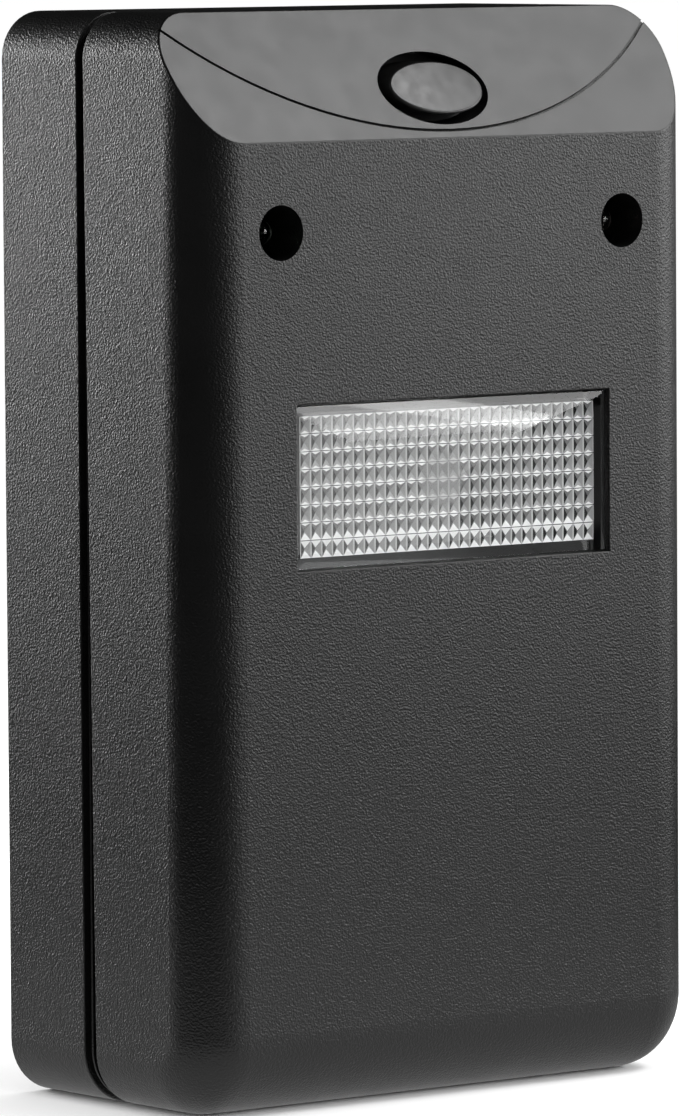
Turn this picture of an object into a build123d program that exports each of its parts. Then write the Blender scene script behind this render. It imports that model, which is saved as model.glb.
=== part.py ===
from build123d import *
import math
import os

# Plug-in ultrasonic pest repeller with a night light, as its separate pieces, in millimetres.
# Frame: +X is the right-hand side seen from the front, +Y points at the wall, +Z is up.
# The origin is the middle of the plug on the flat back face of the case.

# Case
WIDTH = 70.5
HEIGHT = 120.0
DEPTH = 35.6
TOP_ABOVE_PLUG = 42.0
WALL = 2.0
SIDE_EDGE_RADIUS = 6.2
TOP_CORNER_RADIUS = 5.2
BASE_EDGE_RADIUS = 9.0
FACET_HEIGHT = 14.0
FACET_SETBACK = 9.4
EDGE_BREAK = 0.2
RIM_BREAK = 0.15

# Seam between the rear and front covers: a shadow gap with the front cover's tongue inside it
REAR_DEPTH = 13.85
SEAM_GAP_TOP = 1.15
SEAM_GAP_BASE = 2.1
TONGUE_INSET = 1.2
TONGUE_LENGTH = 2.4
REBATE_CLEARANCE = 0.1
BEAD_INSET = 0.45
BEAD_START = 0.7
BEAD_WIDTH = 0.3

# Engraved arc on the slanted face, measured in that face
ARC_RADIUS = 49.0
ARC_LOWEST = 0.9
ARC_WIDTH = 0.38
ARC_DEPTH = 0.35

# Button and the switch behind it
BUTTON_BELOW_TOP = 8.67
BUTTON_HOLE_WIDTH = 15.0
BUTTON_HOLE_HEIGHT = 7.94
BUTTON_CLEARANCE = 0.3
BUTTON_SKIRT_DEPTH = 2.4
BUTTON_STEP = 0.8
BUTTON_PROUD = 0.9
BUTTON_CROWN_RADIUS = 60.0
BUTTON_RIM_RADIUS = 0.25
BUTTON_TRAVEL = 1.2
BUTTON_FLANGE_THICKNESS = 1.0
BUTTON_FLANGE_WIDTH = 1.0
BUTTON_FLANGE_GAP = 0.2
SLEEVE_WALL = 1.2
SLEEVE_END_BACK = 10.0
SWITCH_SIDE = 8.0
SWITCH_COVER_THICKNESS = 0.5
SWITCH_BASE_THICKNESS = 0.8
SWITCH_BORE_RADIUS = 2.6
SWITCH_PIN_INSET = 1.2
SWITCH_CLEAR_OF_BUTTON = 0.5
PLUNGER_RADIUS = 1.5
PLUNGER_CLEARANCE = 0.06
PLUNGER_HEAD_RADIUS = 2.25
PLUNGER_HEAD_THICKNESS = 0.7
PLUNGER_HEAD_GAP = 0.15
SPRING_COIL_RADIUS = 1.45
SPRING_WIRE_RADIUS = 0.15
SPRING_PITCH = 0.62
SPRING_END_GAP = 0.05

# Indicator lights in their sight tubes
INDICATOR_SPACING = 48.0
INDICATOR_BELOW_TOP = 23.8
SIGHT_HOLE_RADIUS = 3.02
SIGHT_TUBE_WALL = 1.2
SIGHT_TUBE_CLEAR_OF_BOARD = 1.4
LED_RADIUS = 1.5
LED_RIM_RADIUS = 1.9
LED_RIM_THICKNESS = 1.0
LED_LENGTH = 5.3
LED_TIP_DEPTH = 2.7
SPACER_RADIUS = 2.4

# Night-light window, its lens, tray and lamp
WINDOW_WIDTH = 44.0
WINDOW_HEIGHT = 18.1
WINDOW_BELOW_TOP = 51.55
LENS_CLEARANCE = 0.17
LENS_RECESS = 0.55
LENS_CORNER_RADIUS = 0.4
LENS_FLANGE_WIDTH = 2.4
LENS_FLANGE_THICKNESS = 1.2
LENS_PAD_BORDER = 1.33
LENS_PAD_THICKNESS = 1.0
TRAY_WALL = 1.2
TRAY_RIM_OVERLAP = 0.4
TRAY_FLOOR = 1.4
LAMP_RADIUS = 2.5
LAMP_RIM_RADIUS = 2.9
LAMP_LENGTH = 8.6
LAMP_BEHIND_PAD = 0.6

# Circuit board
BOARD_BACK = 16.0
BOARD_THICKNESS = 1.6
BOARD_SIDE_GAP = 2.25
BOARD_BASE_GAP = 24.0
BOARD_SHOULDER_BELOW_TOP = 16.0
BOARD_TAB_BELOW_TOP = 4.0
BOARD_TAB_WIDTH = 40.0
LEAD_RADIUS = 0.25
LEAD_HOLE_CLEARANCE = 0.1
LEAD_STUB = 1.0
LEAD_SPACING = 2.54

# Fastenings
CASE_SCREW_INSET = 7.25
CASE_SCREW_BELOW_TOP = 10.0
CASE_SCREW_ABOVE_BASE = 9.0
CASE_BOSS_RADIUS = 4.0
CASE_BOSS_JOINT = 15.0
CASE_SCREW_RECESS_RADIUS = 3.2
CASE_SCREW_RECESS_DEPTH = 8.0
CASE_SCREW_RADIUS = 1.4
CASE_SCREW_LENGTH = 16.0
CASE_SCREW_HEAD_RADIUS = 2.75
CASE_SCREW_HEAD_HEIGHT = 2.0
BOARD_SCREW_INSET = 7.05
BOARD_SCREW_ABOVE_BASE = 30.0
BOARD_SCREW_BELOW_TOP = 36.0
BOARD_POST_RADIUS = 3.0
BOARD_SCREW_RADIUS = 1.1
BOARD_SCREW_LENGTH = 8.0
BOARD_SCREW_HEAD_RADIUS = 2.3
BOARD_SCREW_HEAD_HEIGHT = 1.6
SCREW_HEAD_ROUNDING = 0.4
SCREW_CROSS_DEPTH = 0.6
SCREW_CROSS_LENGTH = 1.2
SCREW_CROSS_WIDTH = 0.22
SCREW_HOLE_CLEARANCE = 0.2
PILOT_CLEARANCE = 0.05

# Two flat plug blades and the block that holds them
BLADE_SPACING = 12.7
BLADE_WIDTH = 6.35
BLADE_THICKNESS = 1.5
BLADE_LENGTH = 17.0
BLADE_HOLE_RADIUS = 1.6
BLADE_HOLE_FROM_FACE = 11.9
BLADE_TIP_BEVEL = 0.5
BLADE_TAIL_WIDTH = 3.2
BLADE_TAIL_LENGTH = 2.0
BLADE_CLEARANCE = 0.05
HOLDER_WIDTH = 24.0
HOLDER_HEIGHT = 12.0
HOLDER_DEPTH = 6.0
HOLDER_CORNER_RADIUS = 1.5
MAINS_LEAD_RADIUS = 0.8
MAINS_LEAD_BEND = 1.7
MAINS_PAD_SPREAD = 2.1
MAINS_PAD_DROP = 11.0

# Ultrasonic transducer over the slots in the underside
TRANSDUCER_RADIUS = 8.0
TRANSDUCER_HEIGHT = 12.0
TRANSDUCER_ABOVE_BASE = 6.0
TRANSDUCER_DEPTH = 24.0
TRANSDUCER_CAN_WALL = 0.5
TRANSDUCER_CLEARANCE = 0.15
TRANSDUCER_BASE_THICKNESS = 2.0
TRANSDUCER_PIN_SPACING = 5.0
TRANSDUCER_PIN_RADIUS = 0.4
TRANSDUCER_PIN_CLEARANCE = 0.05
TRANSDUCER_PIN_STUB = 2.0
PIEZO_DISC_RADIUS = 4.8
PIEZO_DISC_THICKNESS = 1.0
CONE_MOUTH_RADIUS = 5.2
CONE_NECK_RADIUS = 1.6
CONE_HEIGHT = 3.0
CRADLE_WALL = 1.3
CRADLE_HEIGHT = 9.0
SLOT_COUNT = 5
SLOT_PITCH = 3.0
SLOT_WIDTH = 1.5
SLOT_START = 18.5
SLOT_LENGTH = 8.5
SENSOR_LEAD_RADIUS = 0.6
SENSOR_LEAD_BEND = 1.4
SENSOR_LEAD_RISE = 5.0
SENSOR_PAD_ABOVE_BOARD_FOOT = 8.0

# Parts on the back of the board: their sizes, and their places as X and Z
BOX_CORNER_RADIUS = 0.4
FILM_CAPACITOR_SIZE = (13.0, 6.0, 11.0)
FILM_CAPACITOR_PLACE = (-16.0, -22.0)
RECTIFIER_SIZE = (8.5, 6.5, 3.2)
RECTIFIER_PLACE = (21.0, 2.0)
CAN_GROOVE_START = 1.6
CAN_GROOVE_WIDTH = 0.6
CAN_GROOVE_DEPTH = 0.4
CAN_TOP_ROUNDING = 0.5
SMOOTHING_CAPACITOR_SIZE = (4.0, 11.5)
SMOOTHING_CAPACITOR_PLACE = (8.0, -22.0)
TIMING_CAPACITOR_SIZE = (2.5, 9.0)
TIMING_CAPACITOR_PLACE = (18.0, -22.0)
FUSE_SIZE = (4.2, 7.8)
FUSE_PLACE = (-22.0, 12.0)
AXIAL_LEAD_LENGTH = 2.5
RESISTOR_SIZE = (1.2, 6.5)
RESISTOR_PLACES = [(19.0, -36.0), (19.0, -41.0), (19.0, -46.0), (-1.0, -48.0)]
DIODE_SIZE = (1.35, 5.0)
DIODE_PLACES = [(-14.0, 22.0), (0.0, 22.0), (14.0, 22.0)]
COIL_PLACE = (-14.0, -38.0)
COIL_RADIUS = 5.0
COIL_HEIGHT = 9.0
COIL_FLANGE_THICKNESS = 1.4
COIL_NECK_RADIUS = 2.5
COIL_WIRE_INSET = 0.4
CHIP_PLACE = (2.0, -36.0)
CHIP_LENGTH = 9.4
CHIP_WIDTH = 6.4
CHIP_STANDOFF = 0.6
CHIP_TOP = 3.8
CHIP_LEGS_A_SIDE = 4
CHIP_LEG_PITCH = 2.54
CHIP_LEG_WIDTH = 0.5
CHIP_LEG_REACH = 0.8
CHIP_LEG_TOP = 2.2

# Places worked out from the sizes above
TOP_Z = TOP_ABOVE_PLUG
BASE_Z = TOP_Z - HEIGHT
FRONT_Y = -DEPTH
REACH = 2 * max(WIDTH, HEIGHT, DEPTH)
BOARD_FRONT = BOARD_BACK + BOARD_THICKNESS
BUTTON_Z = TOP_Z - BUTTON_BELOW_TOP
INDICATOR_Z = TOP_Z - INDICATOR_BELOW_TOP
INDICATOR_X = INDICATOR_SPACING / 2
WINDOW_Z = TOP_Z - WINDOW_BELOW_TOP
TRANSDUCER_Z = BASE_Z + TRANSDUCER_ABOVE_BASE
TRANSDUCER_TOP_Z = TRANSDUCER_Z + TRANSDUCER_HEIGHT
FACET_SLOPE = math.hypot(FACET_SETBACK, FACET_HEIGHT)
SLEEVE_END_Y = FRONT_Y + SLEEVE_END_BACK
BUTTON_FLANGE_Y = SLEEVE_END_Y + BUTTON_FLANGE_GAP
PLUNGER_TOP_Y = BUTTON_FLANGE_Y + BUTTON_FLANGE_THICKNESS
SWITCH_TOP_Y = PLUNGER_TOP_Y + BUTTON_TRAVEL + SWITCH_CLEAR_OF_BUTTON
SWITCH_CAVITY_FRONT_Y = SWITCH_TOP_Y + SWITCH_COVER_THICKNESS
SWITCH_CAVITY_BACK_Y = -BOARD_FRONT - SWITCH_BASE_THICKNESS
PLUNGER_HEAD_FRONT_Y = SWITCH_CAVITY_FRONT_Y + PLUNGER_HEAD_GAP
PLUNGER_HEAD_BACK_Y = PLUNGER_HEAD_FRONT_Y + PLUNGER_HEAD_THICKNESS
LENS_FRONT_Y = FRONT_Y + LENS_RECESS
LENS_FLANGE_Y = FRONT_Y + WALL
LENS_FLANGE_BACK_Y = LENS_FLANGE_Y + LENS_FLANGE_THICKNESS
LENS_PAD_BACK_Y = LENS_FLANGE_BACK_Y + LENS_PAD_THICKNESS
LAMP_TIP_Y = LENS_PAD_BACK_Y + LAMP_BEHIND_PAD
LAMP_BASE_Y = LAMP_TIP_Y + LAMP_LENGTH
LED_TIP_Y = FRONT_Y + LED_TIP_DEPTH
LED_BASE_Y = LED_TIP_Y + LED_LENGTH

CASE_SCREW_PLACES = [
    (side * (WIDTH / 2 - CASE_SCREW_INSET), z)
    for side in (-1, 1)
    for z in (BASE_Z + CASE_SCREW_ABOVE_BASE, TOP_Z - CASE_SCREW_BELOW_TOP)
]
BOARD_SCREW_PLACES = [
    (side * (WIDTH / 2 - BOARD_SCREW_INSET), z)
    for side in (-1, 1)
    for z in (BASE_Z + BOARD_SCREW_ABOVE_BASE, TOP_Z - BOARD_SCREW_BELOW_TOP)
]
INDICATOR_LEADS = [
    (side * INDICATOR_X + step * LEAD_SPACING / 2, INDICATOR_Z) for side in (-1, 1) for step in (-1, 1)
]
LAMP_LEADS = [(step * LEAD_SPACING / 2, WINDOW_Z) for step in (-1, 1)]
SWITCH_PIN_REACH = SWITCH_SIDE / 2 - SWITCH_PIN_INSET
SWITCH_PINS = [(x * SWITCH_PIN_REACH, BUTTON_Z + z * SWITCH_PIN_REACH) for x in (-1, 1) for z in (-1, 1)]


def along_y(sketch, back_y, front_y):
    """A prism of an X-Z sketch between two depths; the front is the smaller Y."""
    return extrude(Plane.XZ.offset(-back_y) * sketch, amount=back_y - front_y)


def rod_y(x, z, radius, back_y, front_y):
    """A round bar along Y."""
    return along_y(Pos(x, z) * Circle(radius), back_y, front_y)


def block(x, y, z):
    """A box between the pairs of limits given for each axis."""
    centre = [(low + high) / 2 for low, high in (x, y, z)]
    sizes = [high - low for low, high in (x, y, z)]
    return Pos(*centre) * Box(*sizes)


def along_x(points):
    """A wide prism of a Y-Z outline, centred on X = 0."""
    outline = make_face(Polyline([(y, z) for y, z in points], close=True))
    return extrude(Plane.YZ * outline, amount=REACH, both=True)


def facet_cut(inset):
    """Everything behind the slanted face, which is moved inwards by the inset."""
    run, rise = FACET_SETBACK / FACET_SLOPE, FACET_HEIGHT / FACET_SLOPE
    start_y = FRONT_Y + inset * rise
    start_z = TOP_Z - FACET_HEIGHT - inset * run
    low_y, low_z = start_y - REACH * run, start_z - REACH * rise
    high_y, high_z = start_y + REACH * run, start_z + REACH * rise
    points = [(low_y, low_z), (high_y, high_z), (REACH, high_z), (REACH, low_z - 1), (low_y, low_z - 1)]
    return along_x(points)


def case_form(inset):
    """The solid form of the case, moved inwards by the inset on every face."""
    half = WIDTH / 2 - inset
    front, back = FRONT_Y + inset, -inset
    base, top = BASE_Z + inset, TOP_Z - inset
    form = block((-half, half), (front, back), (base, top + WIDTH))
    base_edge = form.edges().filter_by(Axis.X).group_by(Axis.Z)[0].sort_by(Axis.Y)[0]
    form = fillet(base_edge, BASE_EDGE_RADIUS - inset)
    rim = [
        edge
        for edge in form.edges()
        if abs(abs(edge.center().X) - half) < 0.01
        and edge.center().Y < back - 0.01
        and edge.center().Z < top + WIDTH - 0.01
    ]
    form = fillet(rim, SIDE_EDGE_RADIUS - inset)
    cap = block((-half, half), (front - WALL, back + WALL), (base - WALL, top))
    cap = fillet(cap.edges().filter_by(Axis.Y).group_by(Axis.Z)[-1], TOP_CORNER_RADIUS - inset)
    return form & cap & facet_cut(inset)


def edges_in_plane(shape, origin, normal):
    """The edges of a shape that lie wholly in a plane."""
    direction = Vector(*normal).normalized()
    start = Vector(*origin)
    return [
        edge
        for edge in shape.edges()
        if all(abs((edge @ step - start).dot(direction)) < 0.01 for step in (0, 0.3, 0.7, 1))
    ]


def outer_form():
    """The outer form of the case with its slanted face's border and its back border slightly broken."""
    form = case_form(0)
    facet = facet_plane()
    form = fillet(edges_in_plane(form, facet.origin, facet.z_dir), EDGE_BREAK)
    return fillet(edges_in_plane(form, (0, 0, 0), (0, 1, 0)), EDGE_BREAK)


def ring(outer_inset, inner_inset, back_y, front_y):
    """The band of case wall between two insets and two depths."""
    band = block((-WIDTH, WIDTH), (front_y, back_y), (BASE_Z - WALL, TOP_Z + WALL))
    return (case_form(outer_inset) - case_form(inner_inset)) & band


def outer_rim(shell, rim_y):
    """The outer edges of a shell's open rim near the given depth."""
    lean = SEAM_GAP_BASE - SEAM_GAP_TOP + 0.1
    half_wall = case_form(WALL / 2).solid()
    return [
        edge
        for edge in shell.edges()
        if all(
            abs((edge @ step).Y - rim_y) < lean and not half_wall.is_inside(edge @ step)
            for step in (0.1, 0.5, 0.9)
        )
    ]


def front_side():
    """The space in front of the seam's front edge, which leans away from the rear cover."""
    top_y = -REAR_DEPTH - SEAM_GAP_TOP
    base_y = -REAR_DEPTH - SEAM_GAP_BASE
    lean = (top_y - base_y) / HEIGHT
    high, low = TOP_Z + WALL, BASE_Z - WALL
    return along_x(
        [(top_y + lean * WALL, high), (base_y - lean * WALL, low), (-REACH, low), (-REACH, high)]
    )


def oval(grow):
    """The button opening's outline, moved outwards by the given amount."""
    return Pos(0, BUTTON_Z) * Ellipse(BUTTON_HOLE_WIDTH / 2 + grow, BUTTON_HOLE_HEIGHT / 2 + grow)


def facet_plane():
    """The slanted face: local X runs right and local Y runs up the slope from its lower edge."""
    normal = (0, -FACET_HEIGHT / FACET_SLOPE, FACET_SETBACK / FACET_SLOPE)
    return Plane(origin=(0, FRONT_Y, TOP_Z - FACET_HEIGHT), x_dir=(1, 0, 0), z_dir=normal)


def facet_arc():
    """The cutter for the engraved arc."""
    centre = Pos(0, ARC_LOWEST + ARC_RADIUS)
    line = centre * Circle(ARC_RADIUS + ARC_WIDTH / 2) - centre * Circle(ARC_RADIUS - ARC_WIDTH / 2)
    return extrude(facet_plane() * line, amount=ARC_DEPTH, both=True)


def window_block(width_change, height_change, back_y, front_y):
    """A plate over the window, larger or smaller than the opening by the given amounts a side."""
    plate = Rectangle(WINDOW_WIDTH + 2 * width_change, WINDOW_HEIGHT + 2 * height_change)
    return along_y(Pos(0, WINDOW_Z) * plate, back_y, front_y)


def sound_slots():
    """The cutters for the slots in the underside."""
    first = -(SLOT_COUNT - 1) / 2 * SLOT_PITCH
    middle_y = -SLOT_START - SLOT_LENGTH / 2
    slot = SlotOverall(SLOT_LENGTH, SLOT_WIDTH, rotation=90)
    bars = [Pos(first + i * SLOT_PITCH, middle_y, BASE_Z - WALL) * slot for i in range(SLOT_COUNT)]
    return [extrude(bar, amount=2 * WALL + TRANSDUCER_ABOVE_BASE / 2) for bar in bars]


def transducer_ring(radius, low_z, high_z):
    """An upright cylinder on the transducer's axis."""
    disc = Pos(0, -TRANSDUCER_DEPTH, low_z) * Circle(radius)
    return extrude(disc, amount=high_z - low_z)


def front_cover():
    """The front shell with its tongue, bosses, sight tubes, button sleeve and transducer cradle."""
    half_wall = case_form(WALL / 2)
    cover = (outer_form() - case_form(WALL)) & front_side()
    cover = fillet(outer_rim(cover, -REAR_DEPTH - SEAM_GAP_BASE), RIM_BREAK)
    tongue_end = -REAR_DEPTH + TONGUE_LENGTH
    cover += ring(TONGUE_INSET, WALL, tongue_end, -REAR_DEPTH - SEAM_GAP_BASE - WALL)
    bead_y = -REAR_DEPTH - BEAD_START
    cover += ring(BEAD_INSET, WALL, bead_y, bead_y - BEAD_WIDTH)
    for x, z in CASE_SCREW_PLACES:
        cover += rod_y(x, z, CASE_BOSS_RADIUS, -CASE_BOSS_JOINT, FRONT_Y) & half_wall
    for x, z in BOARD_SCREW_PLACES:
        cover += rod_y(x, z, BOARD_POST_RADIUS, -BOARD_FRONT, FRONT_Y) & half_wall
    tube_end = -BOARD_FRONT - SIGHT_TUBE_CLEAR_OF_BOARD
    for side in (-1, 1):
        tube = rod_y(side * INDICATOR_X, INDICATOR_Z, SIGHT_HOLE_RADIUS + SIGHT_TUBE_WALL, tube_end, FRONT_Y)
        cover += tube & half_wall
    cover += along_y(oval(SLEEVE_WALL), SLEEVE_END_Y, FRONT_Y) & half_wall
    cradle_radius = TRANSDUCER_RADIUS + TRANSDUCER_CLEARANCE + CRADLE_WALL
    cradle = transducer_ring(cradle_radius, BASE_Z, BASE_Z + WALL + CRADLE_HEIGHT)
    cover += cradle & half_wall
    cover -= transducer_ring(TRANSDUCER_RADIUS + TRANSDUCER_CLEARANCE, TRANSDUCER_Z, BASE_Z + HEIGHT / 4)
    mouth_radius = TRANSDUCER_RADIUS - TRANSDUCER_CAN_WALL
    cover -= transducer_ring(mouth_radius, BASE_Z + WALL, TRANSDUCER_Z) & case_form(WALL)
    cover -= along_y(oval(0), SLEEVE_END_Y + 1, 2 * FRONT_Y)
    cover -= window_block(0, 0, FRONT_Y + 2 * WALL, 2 * FRONT_Y)
    for side in (-1, 1):
        cover -= rod_y(side * INDICATOR_X, INDICATOR_Z, SIGHT_HOLE_RADIUS, tube_end + 1, 2 * FRONT_Y)
    for x, z in CASE_SCREW_PLACES:
        depth = CASE_SCREW_RECESS_DEPTH + CASE_SCREW_LENGTH + 1
        cover -= rod_y(x, z, CASE_SCREW_RADIUS + PILOT_CLEARANCE, 0, -depth)
    for x, z in BOARD_SCREW_PLACES:
        cover -= rod_y(x, z, BOARD_SCREW_RADIUS + PILOT_CLEARANCE, 0, -BOARD_BACK - BOARD_SCREW_LENGTH - 1)
    for cutter in sound_slots():
        cover -= cutter
    cover = fillet(opening_rims(cover), RIM_BREAK)
    return cover - facet_arc()


def opening_rims(cover):
    """The outer edges of the window, the sight holes and the button opening."""
    facet = facet_plane()
    half_width, half_height = WINDOW_WIDTH / 2 + 0.1, WINDOW_HEIGHT / 2 + 0.1
    rims = []
    for edge in edges_in_plane(cover, (0, FRONT_Y, 0), (0, 1, 0)):
        middle = edge.center()
        in_window = abs(middle.X) < half_width and abs(middle.Z - WINDOW_Z) < half_height
        in_sight = abs(abs(middle.X) - INDICATOR_X) < 0.1 and abs(middle.Z - INDICATOR_Z) < 0.1
        if in_window or in_sight:
            rims.append(edge)
    for edge in edges_in_plane(cover, facet.origin, facet.z_dir):
        if abs(edge.center().X) < 0.1 and abs(edge.center().Z - BUTTON_Z) < 0.5:
            rims.append(edge)
    return rims


def rear_cover():
    """The rear shell with its rebate, screw bosses and blade slots."""
    rear_side = block((-WIDTH, WIDTH), (-REAR_DEPTH, WALL), (BASE_Z - WALL, TOP_Z + WALL))
    cover = (outer_form() - case_form(WALL)) & rear_side
    cover = fillet(outer_rim(cover, -REAR_DEPTH), RIM_BREAK)
    rebate_end = -REAR_DEPTH + TONGUE_LENGTH + 2 * REBATE_CLEARANCE
    cover -= ring(TONGUE_INSET - REBATE_CLEARANCE, WALL, rebate_end, -REAR_DEPTH - WALL)
    for x, z in CASE_SCREW_PLACES:
        cover += rod_y(x, z, CASE_BOSS_RADIUS, 0, -CASE_BOSS_JOINT)
    for x, z in CASE_SCREW_PLACES:
        cover -= rod_y(x, z, CASE_SCREW_RECESS_RADIUS, WALL, -CASE_SCREW_RECESS_DEPTH)
        cover -= rod_y(x, z, CASE_SCREW_RADIUS + SCREW_HOLE_CLEARANCE, 0, -CASE_BOSS_JOINT - 1)
    return cover - blade_slots()


def blade_slots():
    """The two slots that the blades pass through."""
    wide = BLADE_THICKNESS + 2 * BLADE_CLEARANCE
    high = BLADE_WIDTH + 2 * BLADE_CLEARANCE
    slots = [Pos(side * BLADE_SPACING / 2, 0) * Rectangle(wide, high) for side in (-1, 1)]
    return along_y(slots[0] + slots[1], WALL, -WALL - HOLDER_DEPTH - 1)


def blade(side):
    """One flat blade with its bevelled tip, hole and solder tail."""
    x = side * BLADE_SPACING / 2
    half = BLADE_THICKNESS / 2
    inner_end = -WALL - HOLDER_DEPTH
    body = block((x - half, x + half), (inner_end, BLADE_LENGTH), (-BLADE_WIDTH / 2, BLADE_WIDTH / 2))
    body = chamfer(body.faces().sort_by(Axis.Y)[-1].edges(), BLADE_TIP_BEVEL)
    hole = Plane.YZ * (Pos(BLADE_HOLE_FROM_FACE, 0) * Circle(BLADE_HOLE_RADIUS))
    body -= Pos(x, 0, 0) * extrude(hole, amount=BLADE_THICKNESS, both=True)
    tail_half = BLADE_TAIL_WIDTH / 2
    tail_end = inner_end - BLADE_TAIL_LENGTH
    return body + block((x - half, x + half), (tail_end, inner_end), (-tail_half, tail_half))


def blade_holder():
    """The insulating block that grips the blades inside the rear cover."""
    plate = RectangleRounded(HOLDER_WIDTH, HOLDER_HEIGHT, HOLDER_CORNER_RADIUS)
    return along_y(plate, -WALL, -WALL - HOLDER_DEPTH) - blade_slots()


def lead_tube(points, radius, bend):
    """An insulated lead along straight runs joined by tangent arcs."""
    path = FilletPolyline(*points, radius=bend)
    return sweep(Plane(origin=path @ 0, z_dir=path % 0) * Circle(radius), path=path)


def mains_lead(side):
    """The lead from a blade's tail to the board."""
    x = side * BLADE_SPACING / 2
    tail_end = -WALL - HOLDER_DEPTH - BLADE_TAIL_LENGTH
    bend_y = (tail_end - BOARD_BACK) / 2
    pad_x = x * MAINS_PAD_SPREAD
    points = [(x, tail_end, 0), (x, bend_y, 0)]
    points += [(pad_x, bend_y, -MAINS_PAD_DROP), (pad_x, -BOARD_BACK, -MAINS_PAD_DROP)]
    return lead_tube(points, MAINS_LEAD_RADIUS, MAINS_LEAD_BEND)


def board():
    """The circuit board: a plate with a narrower tab behind the button and holes for every lead and screw."""
    half = WIDTH / 2 - WALL - BOARD_SIDE_GAP
    low, shoulder = BASE_Z + BOARD_BASE_GAP, TOP_Z - BOARD_SHOULDER_BELOW_TOP
    tab_top = TOP_Z - BOARD_TAB_BELOW_TOP
    plate = Pos(0, (low + shoulder) / 2) * Rectangle(2 * half, shoulder - low)
    plate += Pos(0, (low + tab_top) / 2) * Rectangle(BOARD_TAB_WIDTH, tab_top - low)
    for x, z in BOARD_SCREW_PLACES:
        plate -= Pos(x, z) * Circle(BOARD_SCREW_RADIUS + SCREW_HOLE_CLEARANCE)
    for x, z in INDICATOR_LEADS + LAMP_LEADS + SWITCH_PINS:
        plate -= Pos(x, z) * Circle(LEAD_RADIUS + LEAD_HOLE_CLEARANCE)
    return along_y(plate, -BOARD_BACK, -BOARD_FRONT)


def led(x, z, radius, rim_radius, base_y, tip_y):
    """A round-topped light: a rimmed barrel with a domed end."""
    barrel = rod_y(x, z, radius, base_y, tip_y + radius)
    rim = rod_y(x, z, rim_radius, base_y, base_y - LED_RIM_THICKNESS)
    return barrel + rim + Pos(x, tip_y + radius, z) * Sphere(radius)


def leads(places, front_y):
    """Straight wire leads from a component to just behind the board."""
    rods = [rod_y(x, z, LEAD_RADIUS, -BOARD_BACK + LEAD_STUB, front_y) for x, z in places]
    return Compound(children=rods)


def spacers():
    """The tubes that hold the indicator lights at their height above the board."""
    tubes = []
    for side in (-1, 1):
        tube = rod_y(side * INDICATOR_X, INDICATOR_Z, SPACER_RADIUS, -BOARD_FRONT, LED_BASE_Y)
        for x, z in INDICATOR_LEADS:
            tube -= rod_y(x, z, LEAD_RADIUS + LEAD_HOLE_CLEARANCE, 0, FRONT_Y)
        tubes.append(tube)
    return Compound(children=tubes)


def window_lens():
    """The clear plate in the window: a stepped pane with the thicker patterned area behind it."""
    pane = RectangleRounded(
        WINDOW_WIDTH - 2 * LENS_CLEARANCE, WINDOW_HEIGHT - 2 * LENS_CLEARANCE, LENS_CORNER_RADIUS
    )
    lens = along_y(Pos(0, WINDOW_Z) * pane, LENS_FLANGE_Y, LENS_FRONT_Y)
    lens += window_block(LENS_FLANGE_WIDTH, LENS_FLANGE_WIDTH, LENS_FLANGE_BACK_Y, LENS_FLANGE_Y)
    return lens + window_block(-LENS_PAD_BORDER, -LENS_PAD_BORDER, LENS_PAD_BACK_Y, LENS_FLANGE_BACK_Y)


def light_tray():
    """The white tray behind the lens that throws the lamp's light forwards."""
    inner = LENS_FLANGE_WIDTH - TRAY_RIM_OVERLAP
    tray = window_block(inner + TRAY_WALL, inner + TRAY_WALL, -BOARD_FRONT, LENS_FLANGE_BACK_Y)
    tray -= window_block(inner, inner, -BOARD_FRONT - TRAY_FLOOR, LENS_FLANGE_BACK_Y - 1)
    return tray - rod_y(0, WINDOW_Z, LEAD_SPACING, 0, FRONT_Y)


def button_cap():
    """The oval push button: a guided skirt with a stop flange, and a narrower crown on it."""
    below_face = facet_plane() * Pos(0, (FACET_HEIGHT - BUTTON_BELOW_TOP) * FACET_SLOPE / FACET_HEIGHT)
    centre = below_face * Pos(0, 0, BUTTON_PROUD - BUTTON_CROWN_RADIUS)
    dome = centre * Rot(90, 0, 0) * Sphere(BUTTON_CROWN_RADIUS)
    crown = along_y(oval(-BUTTON_CLEARANCE - BUTTON_STEP), BUTTON_FLANGE_Y, 2 * FRONT_Y) & dome
    rim = crown.faces().filter_by(GeomType.SPHERE).sort_by(Axis.Y)[0].edges()
    crown = fillet(rim, BUTTON_RIM_RADIUS)
    flange_back = BUTTON_FLANGE_Y + BUTTON_FLANGE_THICKNESS
    skirt = along_y(oval(-BUTTON_CLEARANCE), flange_back, 2 * FRONT_Y) & facet_cut(BUTTON_SKIRT_DEPTH)
    return crown + skirt + along_y(oval(BUTTON_FLANGE_WIDTH), flange_back, BUTTON_FLANGE_Y)


def switch_body():
    """The switch housing with its round bore."""
    square = Pos(0, BUTTON_Z) * Rectangle(SWITCH_SIDE, SWITCH_SIDE)
    housing = along_y(square, -BOARD_FRONT, SWITCH_CAVITY_FRONT_Y)
    return housing - rod_y(0, BUTTON_Z, SWITCH_BORE_RADIUS, SWITCH_CAVITY_BACK_Y, FRONT_Y)


def switch_cover():
    """The steel plate that closes the switch and guides the plunger."""
    square = Pos(0, BUTTON_Z) * Rectangle(SWITCH_SIDE, SWITCH_SIDE)
    plate = along_y(square, SWITCH_CAVITY_FRONT_Y, SWITCH_TOP_Y)
    return plate - rod_y(0, BUTTON_Z, PLUNGER_RADIUS + PLUNGER_CLEARANCE, 0, FRONT_Y)


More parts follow.
